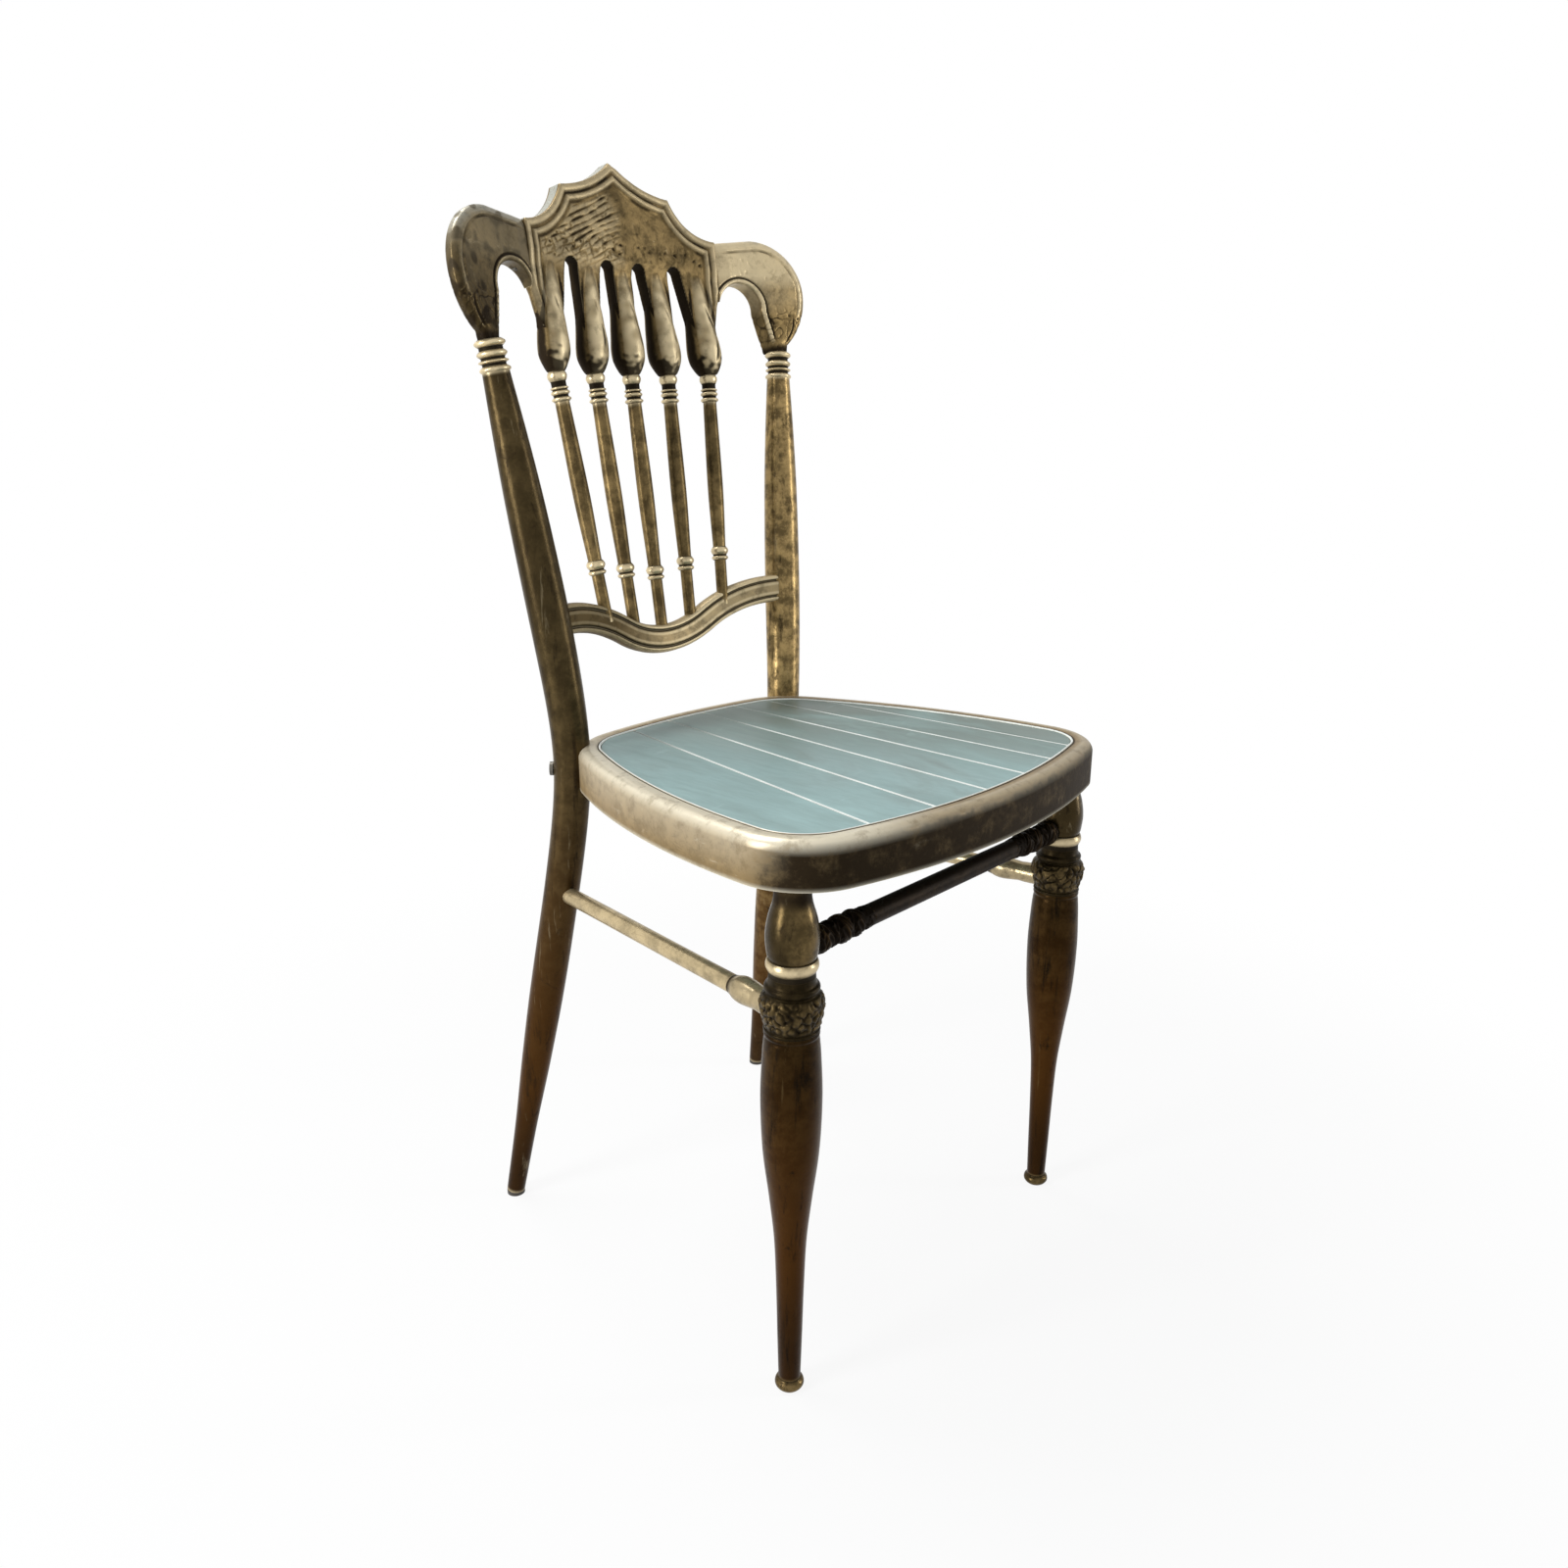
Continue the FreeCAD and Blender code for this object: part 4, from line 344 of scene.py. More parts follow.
def make_finishes(look):
    """Every paint of the chair by name."""
    gold, dark, bright = tuple(look.gold), tuple(look.patina_and_shade), tuple(look.bright)
    umber, olive, silver = tuple(look.umber), tuple(look.olive), tuple(look.silver)
    slat, slat_edge_highlight = tuple(look.slat), tuple(look.slat_edge_highlight)
    brass = tuple((one + two) / 2 for one, two in zip(gold, bright))
    brown = (gold[0] * 0.24, gold[1] * 0.20, gold[2] * 0.15)
    light, dim, lighter_tone, sooty = (shade(gold, share) for share in (1.45, 0.62, 0.55, 0.16))
    black = shade(dark, 0.5)
    upright = (1.0, 1.0, 0.10)
    recipes = {
        "cast": ("Cast gold", (gold, dark, bright, silver), {"dirt": 0.38}),
        # The arches and posts take a lighter gold as a painted highlight, with painted shade on their right side.
        "arch": ("Arch gold", (light, dark, bright, silver),
                 {"dirt": 0.60, "roughness": 0.30, "metallic": 0.5, "scale": 60.0, "cloudy": 0.8, "side_shade": (0.68, 0.0)}),
        "post": ("Post gold", (light, dark, bright),
                 {"grain": upright, "dirt": 0.75, "umber": umber, "low": 0.50, "roughness": 0.28, "metallic": 0.5,
                  "cloudy": 0.7, "side_shade": (0.90, 0.0), "spread": 0.55}),
        "tube": ("Tube gold", (gold, dark, bright),
                 {"grain": upright, "dirt": 0.55, "umber": umber, "low": 0.50, "roughness": 0.33}),
        "leg": ("Leg gold", (brown, black, gold),
                {"grain": upright, "dirt": 0.95, "umber": umber, "low": 0.36, "roughness": 0.30, "metallic": 0.5,
                 "cloudy": 0.75, "spread": 0.75}),
        "crown": ("Turned gold", (dim, dark, bright, silver),
                  {"grain": (1.0, 1.0, 0.4), "dirt": 0.85, "roughness": 0.24, "metallic": 0.7, "cloudy": 0.9}),
        "knot": ("Carved gold", (sooty, black, lighter_tone, silver), {"dirt": 0.55, "roughness": 0.34, "metallic": 0.5}),
        # The side stretchers take the paler brass tone with little dirt, a painted highlight along them.
        "bar": ("Stretcher gold", (brass, dark, bright),
                {"grain": (1.0, 0.15, 1.0), "dirt": 0.30, "roughness": 0.28, "metallic": 0.7, "cloudy": 0.1,
                 "spread": 0.2}),
        "ring": ("Ring gilt", (brass, black, bright, silver), {"dirt": 0.20, "roughness": 0.28, "metallic": 0.6}),
        "dark": ("Dark bronze", (shade(dark, 1.2), black, brown, silver),
                 {"grain": (0.3, 1.0, 1.0), "dirt": 0.6, "metallic": 0.3}),
        "rim": ("Rim gold", (olive, dark, tuple(look.white_gold_highlight), silver),
                {"grain": (0.30, 0.30, 1.0), "dirt": 0.30, "roughness": 0.32, "cloudy": 0.12, "spread": 0.16}),
        "under": ("Under paint", (brown, black, umber), {"dirt": 0.7, "roughness": 0.55, "metallic": 0.2}),
    }
    made = {key: antique_gold(name, tones, **ways) for key, (name, tones, ways) in recipes.items()}
    made["slat"] = slat_paint(slat)
    made["slat_edge"] = slat_edge_paint("Slat edge", slat_edge_highlight, slat)
    made["panel_line"] = slat_edge_paint("Panel edge", slat_edge_highlight)
    made["zinc"] = zinc_plate(tuple(look.zinc))
    made["glide"] = moulded_plastic()
    return made


def slat_paint(blue):
    """Satin blue-grey paint, clouded and scuffed, with a painted reflection that makes it paler and bluer towards the
    front right corner.
    """
    paint = Paint("Slat paint")
    lengthwise = (0.0, 0.0, 0.09)
    clouds = paint.noise(6.0, 5.0, 0.6, (1.4, 0.7, 1.0), lengthwise, 0.9)
    streaks = paint.noise(30.0, 5.0, 0.6, (1.0, 0.14, 1.0), lengthwise, 0.3)
    scuffs = paint.noise(22.0, 5.0, 0.68, (0.5, 1.0, 1.0), (0.0, 0.0, 0.5), 1.2)
    grain = paint.noise(260.0, 3.0, 0.6, (1.0, 0.2, 1.0), lengthwise)
    # A painted reflection: the slats grow paler and bluer towards the front right corner.
    corner = paint.node("ShaderNodeVectorMath", operation="DOT_PRODUCT")
    paint.link(paint.spot(), corner.inputs[0])
    corner.inputs[1].default_value = (-1.0, -0.6, 0.0)
    lighter_tone = (blue[0] * 1.62, blue[1] * 1.88, blue[2] * 2.10)
    pale = tuple(min(1.0, part * 1.30 + 0.03) for part in lighter_tone)
    deep = shade(blue, 0.72)
    base = paint.mix(paint.span(corner.outputs["Value"], -0.13, 0.14), blue, lighter_tone)
    base = paint.mix(paint.span(clouds, 0.48, 0.72, 0.0, 0.45), base, pale)
    base = paint.mix(paint.span(clouds, 0.46, 0.28, 0.0, 0.60), base, deep)
    base = paint.mix(paint.span(streaks, 0.50, 0.74, 0.0, 0.28), base, deep)
    base = paint.mix(paint.span(scuffs, 0.60, 0.74, 0.0, 0.35), base, pale)
    base = paint.mix(paint.span(grain, 0.35, 0.65, 0.0, 0.12), base, deep)
    rough = paint.span(clouds, 0.3, 0.7, 0.40, 0.58)
    normal = paint.bump(grain, 0.0002, 0.3)
    normal = paint.bump(streaks, 0.0003, 0.3, normal)
    return paint.finish(base, 0.0, rough, normal, 0.25)


def slat_edge_paint(name, pale, blue=None):
    """Edges painted as a pale line, a painted highlight; given the slats' blue, the line fades into it towards the
    back.
    """
    paint = Paint(name)
    # The noise only varies how bright the painted highlight is.
    wear = paint.noise(45.0, 4.0, 0.6)
    base = paint.mix(paint.span(wear, 0.35, 0.7, 0.0, 0.30), pale, shade(pale, 0.6))
    if blue is not None:
        ragged = paint.maths("MULTIPLY", paint.noise(9.0, 2.0, 0.5), 0.06)
        back = paint.maths("ADD", paint.along("Y"), ragged)
        base = paint.mix(paint.span(back, 0.045, 0.120, 0.0, 0.85), base, blue)
    return paint.finish(base, 0.0, paint.span(wear, 0.3, 0.7, 0.3, 0.5))


def zinc_plate(grey):
    """Plated fasteners."""
    paint = Paint("Zinc plate")
    spangle = paint.cells(900.0)
    base = paint.mix(paint.span(spangle, 0.0, 0.8), grey, shade(grey, 0.7))
    return paint.finish(base, 0.9, paint.span(spangle, 0.0, 0.9, 0.28, 0.5), paint.bump(spangle, 0.0002, 0.3))


def moulded_plastic():
    """Dark glides under the back posts."""
    paint = Paint("Glide plastic")
    grain = paint.noise(700.0, 2.0, 0.5)
    base = paint.mix(grain, (0.022, 0.018, 0.014), (0.045, 0.038, 0.030))
    return paint.finish(base, 0.0, paint.span(grain, 0.3, 0.7, 0.45, 0.65), paint.bump(grain, 0.0002, 0.4))


# Meshes

def add_piece(name, points, faces, paint, slot, *nodes, marks=None, smooth=42.0, second=None):
    """Make a mesh piece from points in millimetres, put it on the frame and let it stand for its nodes."""
    mesh = bpy.data.meshes.new(name)
    mesh.from_pydata((np.asarray(points, float) * MM).tolist(), [], faces)
    mesh.validate()
    for key in ("hollow", "rubbed", "silver"):
        values = (marks or {}).get(key)
        if values is None:
            continue
        kept = mesh.attributes.new(key, "FLOAT", "POINT")
        kept.data.foreach_set("value", np.asarray(values, np.float32))
    mesh.shade_smooth()
    mesh.set_sharp_from_angle(angle=math.radians(smooth))
    return settle(bpy.data.objects.new(name, mesh), paint, nodes, second)


def settle(piece, paint, nodes, second=None):
    """Link, paint and fasten a finished object."""
    bpy.context.scene.collection.objects.link(piece)
    piece.data.materials.append(FINISHES[paint])
    if second is not None:
        piece.data.materials.append(FINISHES[second])
    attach(piece, "root")
    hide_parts(*nodes)
    return piece


def flipped(points, faces):
    """The same shape on the other side of the chair."""
    return np.asarray(points) * (-1.0, 1.0, 1.0), [tuple(reversed(face)) for face in faces]


def add_pair(name, points, faces, paint, slot, marks=None):
    """The sitter's left piece and its mirror image, each for its own node."""
    for side, way in SIDES:
        shape = (points, faces) if way > 0 else flipped(points, faces)
        add_piece(f"{name}_{side}_dressed", *shape, paint, slot, f"{name}_{side}", marks=marks)


def clamp(value):
    """Keep a number, or each one of many, between 0 and 1."""
    return np.clip(value, 0.0, 1.0)


def ramp(value, start, end):
    """0 up to one value, 1 from another on, and straight between them; it may also fall."""
    return clamp((value - start) / (end - start))


def bowl(value, centre, width):
    """Round hump of height 1."""
    return clamp(1.0 - ((value - centre) / width) ** 2) ** 0.7


def quarter_round(share, least=0.0):
    """Thickness from 0 to 1 of a rounded edge, at a share of the way in."""
    return np.sqrt(np.clip(1.0 - (1.0 - share) ** 2, least, 1.0))


def dents(points, size, seed):
    """Even noise from -1 to 1 at points in millimetres."""
    shift = Vector((seed * 13.1, seed * 7.7, seed * 3.3))
    return np.array([noise.noise(Vector(point) / size + shift) for point in points])


def curve_through(stations, steps):
    """Smooth curve through (place, size) stations, as rows of pairs."""
    rows = np.asarray(stations, float)
    ends = np.vstack([rows[0] * 2 - rows[1], rows, rows[-1] * 2 - rows[-2]])
    least = 1e-6
    out = []
    for index in range(1, len(ends) - 2):
        before, here, after, beyond = ends[index - 1:index + 3]
        gap = max(abs(after[0] - here[0]), least)
        gap_before = max(abs(here[0] - before[0]), least)
        gap_after = max(abs(beyond[0] - after[0]), least)
        slope_in = (after - before) / (gap + gap_before) * gap
        slope_out = (beyond - here) / (gap + gap_after) * gap
        for step in range(steps):
            t = step / steps
            out.append(
                (2 * t ** 3 - 3 * t ** 2 + 1) * here + (t ** 3 - 2 * t ** 2 + t) * slope_in
                + (3 * t ** 2 - 2 * t ** 3) * after + (t ** 3 - t ** 2) * slope_out
            )
    out.append(rows[-1])
    return np.array(out)


def bead(low, high, edge, crown, steps=10):
    """Stations of a rounded bead."""
    share = np.linspace(0.0, 1.0, steps)
    return [(low + (high - low) * s, edge + (crown - edge) * math.sin(math.pi * s)) for s in share]


def turned(stations, around=64, relief=None):
    """Points and faces of a shape turned about Z; relief adds to its radius by angle and height."""
    rows = np.asarray(stations, float)
    angle = np.linspace(0.0, 2 * math.pi, around, endpoint=False)
    radius = np.repeat(rows[:, 1:2], around, axis=1)
    heights = np.repeat(rows[:, 0:1], around, axis=1)
    if relief is not None:
        radius = radius + relief(angle[None, :], heights)
    points = np.stack([radius * np.cos(angle), radius * np.sin(angle), heights], axis=-1).reshape(-1, 3)
    return points, ring_faces(len(rows), around, rows[-1, 0] > rows[0, 0])


def ring_faces(count, around, upward=True):
    """Faces of stacked rings with closed ends."""
    faces = []
    for row in range(count - 1):
        for step in range(around):
            after = (step + 1) % around
            quad = (row * around + step, row * around + after, (row + 1) * around + after, (row + 1) * around + step)
            faces.append(quad if upward else quad[::-1])
    first = tuple(range(around))
    last = tuple((count - 1) * around + step for step in range(around))
    faces.append(first[::-1] if upward else first)
    faces.append(last if upward else last[::-1])
    return faces


def aimed(points, start, way):
    """Turn points from the Z axis to a direction and move them to a start."""
    turn = Vector((0.0, 0.0, 1.0)).rotation_difference(Vector(way)).to_matrix()
    return np.asarray(points) @ np.array(turn).T + np.asarray(start)


def swept(line, radii, around=48):
    """Tube along a line with a radius at each point."""
    line = np.asarray(line, float)
    way = np.gradient(line, axis=0)
    way /= np.linalg.norm(way, axis=1)[:, None]
    side = np.cross(way, (0.0, 1.0, 0.0))
    side /= np.linalg.norm(side, axis=1)[:, None]
    front = np.cross(way, side)
    angle = np.linspace(0.0, 2 * math.pi, around, endpoint=False)
    wheel = side[:, None, :] * np.cos(angle)[None, :, None] + front[:, None, :] * np.sin(angle)[None, :, None]
    points = line[:, None, :] + wheel * np.asarray(radii)[:, None, None]
    return points.reshape(-1, 3), ring_faces(len(line), around, True)


def arc(start, end, radius, side, steps):
    """Points of an arc from start up to, not with, its end; side +1 has its centre on the left."""
    start, end = np.asarray(start, float), np.asarray(end, float)
    chord = end - start
    half = np.linalg.norm(chord) / 2
    left = np.array([-chord[1], chord[0]]) / (half * 2)
    centre = (start + end) / 2 + left * side * math.sqrt(radius ** 2 - half ** 2)
    low = math.atan2(*(start - centre)[::-1])
    high = math.atan2(*(end - centre)[::-1])
    if side > 0 and high < low:
        high += 2 * math.pi
    if side < 0 and high > low:
        high -= 2 * math.pi
    turn = np.linspace(low, high, steps, endpoint=False)
    return [tuple(centre + radius * np.array([math.cos(t), math.sin(t)])) for t in turn]


def trace(corners, steps=24):
    """Closed outline from corners, each (x, y) or (x, y, radius, side) for an arc to the next one."""
    line = []
    for index, corner in enumerate(corners):
        after = corners[(index + 1) % len(corners)]
        if len(corner) == 2:
            line += straight(corner, after, 2.0)
        else:
            line += arc(corner[:2], after[:2], corner[2], corner[3], steps)
    return np.array(line)


def straight(start, end, step):
    """Points along a straight run up to, not with, its end."""
    start, end = np.asarray(start[:2], float), np.asarray(end[:2], float)
    count = max(1, int(np.linalg.norm(end - start) / step))
    return [tuple(start + (end - start) * index / count) for index in range(count)]


def distance_to(points, line, closed=True):
    """Distance of flat points to an outline."""
    first = line
    last = np.roll(line, -1, axis=0)
    if not closed:
        first, last = line[:-1], line[1:]
    best = np.full(len(points), 1e9)
    for one, two in zip(first, last):
        run = two - one
        share = np.clip(((points - one) @ run) / max(run @ run, 1e-9), 0.0, 1.0)
        away = points - (one + share[:, None] * run)
        best = np.minimum(best, np.einsum("ij,ij->i", away, away))
    return np.sqrt(best)


def prism(line, half):
    """Upright plate with an outline in the XZ plane."""
    count = len(line)
    front = np.column_stack([line[:, 0], np.full(count, -half), line[:, 1]])
    back = np.column_stack([line[:, 0], np.full(count, half), line[:, 1]])
    faces = [tuple(range(count)), tuple(reversed(range(count, 2 * count)))]
    for index in range(count):
        after = (index + 1) % count
        faces.append((index, index + count, after + count, after))
    return np.vstack([front, back]), faces


def cast_together(name, shapes, grain, soften):
    """Melt closed shapes into one even mesh and return its points and faces."""
    mesh = bpy.data.meshes.new(name)
    points, faces = [], []
    for some_points, some_faces in shapes:
        start = sum(len(block) for block in points)
        points.append(np.asarray(some_points))
        faces += [tuple(index + start for index in face) for face in some_faces]
    mesh.from_pydata((np.vstack(points) * MM).tolist(), [], faces)
    shape = bpy.data.objects.new(name, mesh)
    bpy.context.scene.collection.objects.link(shape)
    melt = shape.modifiers.new("melt", "REMESH")
    melt.mode = "VOXEL"
    melt.voxel_size = grain * MM
    ease = shape.modifiers.new("ease", "SMOOTH")
    ease.factor = 0.5
    ease.iterations = soften
    bpy.context.view_layer.update()
    cast = bpy.data.meshes.new_from_object(shape.evaluated_get(bpy.context.evaluated_depsgraph_get()))
    count = len(cast.vertices)
    found = np.empty(count * 3)
    cast.vertices.foreach_get("co", found)
    sides = [tuple(face.vertices) for face in cast.polygons]
    bpy.data.objects.remove(shape)
    bpy.data.meshes.remove(mesh)
    bpy.data.meshes.remove(cast)
    return found.reshape(-1, 3) / MM, sides


def leaned(points):
    """Bow the upright back's points and lean them onto the chair."""
    points = np.asarray(points, float)
    depth = points[:, 1] + np.sqrt(BACK_BOW ** 2 - points[:, 0] ** 2) - BACK_BOW
    world_depth = BACK_DEPTH + depth * math.cos(LEAN) + points[:, 2] * math.sin(LEAN)
    world_height = BACK_HEIGHT + points[:, 2] * math.cos(LEAN) - depth * math.sin(LEAN)
    return np.column_stack([points[:, 0], world_depth, world_height])


# The crest

# Places on the flat, upright back: across from its middle and up from its foot line.
APEX = 153.5
SCALLOP = (61.1, 128.5)
SHOULDER = (108.5, 95.0)
INNER_SCALLOP_RADIUS = 110.0
OUTER_SCALLOP_RADIUS = 56.0
WING_FOOT = 42.0
WING_TAPER = 7.1
BAR_FOOT = 12.0
SLOT_ARCH = 66.0
SLOT_RADIUS = 7.42
CREST_THICK = 12.8

# Places across the back of each finger's top and foot, the other side mirrored, and (height, radius) up a finger.
FINGERS = ((0.0, 0.0), (38.5, 43.3), (84.0, 89.8))
FINGER_FOOT = -23.0
FINGER_RISE = 87.0
FINGER_RADII = ((0.0, 8.0), (4.0, 10.6), (12.0, 14.0), (20.0, 14.9), (32.0, 13.9), (52.0, 11.6), (87.0, 7.0))

# Millimetres across one cube of the grid that melts a casting together, and how often it is smoothed.
CREST_GRAIN = 0.72
ARCH_GRAIN = 0.75
SMOOTHINGS = 3
# How many times the pits' depth the mouldings' hollows are sunk.
DIG = 1.3


def crest_line():
    """Outline of the crest on the upright back."""
    half = [
        (0.0, APEX, INNER_SCALLOP_RADIUS, 1),
        (*SCALLOP, OUTER_SCALLOP_RADIUS, 1),
        SHOULDER,
        (SHOULDER[0], WING_FOOT),
        (101.4, BAR_FOOT),
        (78.2, BAR_FOOT),
        (66.0, SLOT_ARCH, SLOT_RADIUS, 1),
        (52.0, SLOT_ARCH),
        (52.58, BAR_FOOT),
        (34.02, BAR_FOOT),
        (25.0, SLOT_ARCH, SLOT_RADIUS, 1),
        (11.0, SLOT_ARCH),
        (9.28, BAR_FOOT),
    ]
    whole = list(half)
    for here, before in zip(half[:0:-1], half[-2::-1]):
        whole.append((-here[0], here[1], *before[2:]))
    return trace(whole, 20)


def top_line():
    """The crest's scalloped upper edge, from one shoulder to the other."""
    corners = [(-SHOULDER[0], SHOULDER[1]), (-SCALLOP[0], SCALLOP[1]), (0.0, APEX), SCALLOP, SHOULDER]
    radii = (OUTER_SCALLOP_RADIUS, INNER_SCALLOP_RADIUS, INNER_SCALLOP_RADIUS, OUTER_SCALLOP_RADIUS)
    line = []
    for start, end, radius in zip(corners, corners[1:], radii):
        line += arc(start, end, radius, 1, 20)
    return np.array([*line, SHOULDER])


def finger(side_top, side_foot):
    """One hanging finger, made around the upright back's plane."""
    points, faces = turned(curve_through(FINGER_RADII, 10), 40)
    lift = points[:, 2] / FINGER_RISE
    points[:, 0] += side_foot + (side_top - side_foot) * lift
    points[:, 2] += FINGER_FOOT
    return points, faces


def finger_places():
    """Top and foot of each finger across the back."""
    places = []
    for top, foot in FINGERS:
        places.append((top, foot))
        if foot > 0:
            places.append((-top, -foot))
    return places


def crest_mouldings(outer, on_top, height):
    """Raised and sunk bands along the crest's free edges; down its wings they run out."""
    runs_out = np.where(on_top, 1.0, ramp(height, 14.0, 54.0))
    raised = np.maximum(bowl(outer, 3.4, 3.4), bowl(outer, 10.8, 2.8) * 0.85) * runs_out
    sunk = np.maximum(bowl(outer, 7.4, 1.7) * 0.9, bowl(outer, 14.8, 1.9) * 0.7) * runs_out
    return raised, sunk


def crest_field(points, inside):
    """Cuts and pits worked into the crest's field, and the half of it that is hatched."""
    side, _, height = points.T
    hatched = clamp(-side / 14.0 + dents(points, 25.0, 4))
    slant = height * 0.92 - side * 0.40 + dents(points, 22.0, 3) * 2.6
    strokes = clamp(np.sin(slant * 1.35) * 1.2 + dents(points, 8.0, 5) * 1.1 - 0.45)
    pits = clamp(dents(points, 3.8, 7) * 2.4 - 0.75)
    fan = clamp(np.sin(side * 0.55 + dents(points, 7.0, 9) * 4.0) * 1.4 - 0.7)
    near_slots = np.exp(-((height - 80.0) / 9.0) ** 2) * (np.abs(side) < 92.0)
    worked = np.maximum(strokes * hatched * (0.4 + 0.6 * (height > 84.0)), pits * (0.30 + near_slots))
    worked = np.maximum(worked, fan * near_slots * 0.6) * inside
    return worked, hatched


def finger_marks(points, top_side, foot_side, broken, ragged):
    """Painted shade on one finger's flanks, its dark crease and cupped foot, and a painted highlight on its lit front.
    """
    side, _, height = points.T
    lift = ramp(height, FINGER_FOOT, FINGER_FOOT + FINGER_RISE)
    middle = foot_side + (top_side - foot_side) * lift
    away = (side - middle) / np.interp(height - FINGER_FOOT, *zip(*FINGER_RADII))
    mine = (np.abs(away) < 1.25) * ramp(height, 64.0, 44.0)
    # Painted shade on the flanks.
    flank = clamp((np.abs(away) - 0.88) / 0.12) * mine
    curl = 0.55 * np.sin(math.pi * ramp(height, -20.0, 42.0)) + 0.08 * math.sin(foot_side)
    curl += 0.16 * math.sin(top_side * 0.7 + 1.0)
    fade = ramp(height, -16.0, -6.0) * ramp(height, 40.0, 28.0)
    crease = bowl(away, curl - 0.12, 0.15) * fade * mine * broken
    cup = clamp((9.0 * np.abs(away) - height - 12.0) / 9.0 + ragged) * mine
    lit = bowl(away, 0.03, 0.86) * mine * clamp(1.0 - cup * 0.9) * (1.0 - crease * 0.9)
    return flank, crease, cup, lit


def carve_crest(points, shape):
    """Raise the crest's mouldings, hatch and pit its field, and paint shade into its slots, onto the fingers' flanks
    and onto the unhatched half, with painted highlights on the fingers' fronts and the hatched half.
    """
    side, depth, height = points.T
    flat = points[:, [0, 2]]
    top = distance_to(flat, top_line(), closed=False)
    edge = distance_to(flat, crest_line())
    wing = SHOULDER[0] - ramp(height, WING_FOOT, BAR_FOOT) * WING_TAPER - np.abs(side)
    outer = np.minimum(top, wing)
    panel = ramp(height, 60.0, 72.0)
    inside = ramp(outer, 15.5, 18.0) * panel
    raised, sunk = crest_mouldings(outer, top < wing, height)
    worked, hatched = crest_field(points, inside)

    hollow = np.maximum(sunk * np.clip(0.45 + dents(points, 14.0, 19), 0.18, 0.75), worked * 0.62)
    # Painted shade on the unhatched half of the field.
    hollow = np.maximum(hollow, inside * (1.0 - hatched) * 0.16)
    # Rubbed gold on the raised mouldings is wear; on the hatched half it is a painted highlight.
    rubbed = np.maximum(raised * 0.62, clamp(0.35 - worked) * inside * hatched * 0.9)
    dug = np.maximum(sunk, worked)
    broken = clamp(dents(points, 15.0, 13) * 2.0 + 0.85)
    ragged = dents(points, 4.5, 15) * 1.3
    patchy = np.clip(1.05 + dents(points, 9.0, 27) * 0.9, 0.45, 1.25)
    for top_side, foot_side in finger_places():
        flank, crease, cup, lit = finger_marks(points, top_side, foot_side, broken, ragged)
        hollow = np.maximum.reduce([hollow, flank * 0.85, crease * 0.9, cup * 0.75])
        rubbed = np.maximum(rubbed, lit * patchy)
        dug = np.maximum(dug, crease)
    # Painted shade on the walls of the slots.
    slot_shade = clamp(1.5 - edge) * (height < 73.5) * (np.abs(side) < 104.0) * (np.abs(depth) < 6.25)
    hollow = np.maximum(hollow, slot_shade)
    rubbed = rubbed * (1.0 - slot_shade)

    relief, pits = shape.relief / MM, shape.pits / MM
    ridge = 2.6 * clamp(1.0 - np.abs(side) / 78.0) * panel * ramp(height, 154.0, 148.0)
    push = raised * relief - dug * pits * DIG + ridge * (depth < 0) + dents(points, 11.0, 17) * 0.35
    push -= 0.9 * ramp(outer, 15.0, 17.0) * panel
    push += 1.5 * panel * ramp(depth, -1.0, -4.0) * ramp(height, 150.0, 130.0)
    moved = points.copy()
    moved[:, 1] += np.sign(depth) * np.where(np.abs(depth) > 1.0, push, 0.0)
    eased = ramp(height, 52.0, 38.0) * ramp(height, 10.0, 20.0)
    moved[:, 1] *= 1.0 - eased * (1.0 - quarter_round(ramp(wing, 0.0, 9.0), 0.03))
    # A painted silver highlight along the crest's top edge.
    silver = clamp(1.6 - top) * (np.abs(depth) < 4.6)
    return moved, {"hollow": hollow * (1.0 - silver * 0.7), "rubbed": rubbed, "silver": silver}


class CHAIR_OT_crest(bpy.types.Operator):
    """Build the cast crest with its mouldings and five fingers"""

    bl_idname = "chair.crest"
    bl_label = "Crest"

    def execute(self, context):
        shapes = [prism(crest_line(), CREST_THICK / 2)]
        for top_side, foot_side in finger_places():
            shapes.append(finger(top_side, foot_side))
        points, faces = cast_together("crest_cast", shapes, CREST_GRAIN, SMOOTHINGS)
        points, marks = carve_crest(points, context.scene.chair_shape)
        add_piece("crest_dressed", leaned(points), faces, "cast", "cast_bronze_paint", "crest_panel", marks=marks,
                  smooth=75.0)
        return {"FINISHED"}


# The arches

ARCH_CONTACT = SHOULDER[0]
ARCH_HOLE = (130.0, 37.0)
ARCH_HOLE_RADIUS = 22.0
ARCH_THROAT = 3.8
ARCH_CROWN = (150.0, 48.5)
ARCH_CROWN_RADIUS = 50.0
ARCH_FLANK = 2.0
ARCH_FLANK_RADIUS = 60.0
ARCH_NECK = (168.2, -4.6)
ARCH_NECK_HALF = (8.3, 0.9)
ARCH_THICK = 17.8
# How dark each arch's blotches get at most, deeper on the right arch as painted shade, and how many times its rubbed
# gold shows, more on the left arch as a painted highlight.
ARCH_SHADE_AND_HIGHLIGHT = {"left": (0.25, 1.6), "right": (0.60, 0.30)}


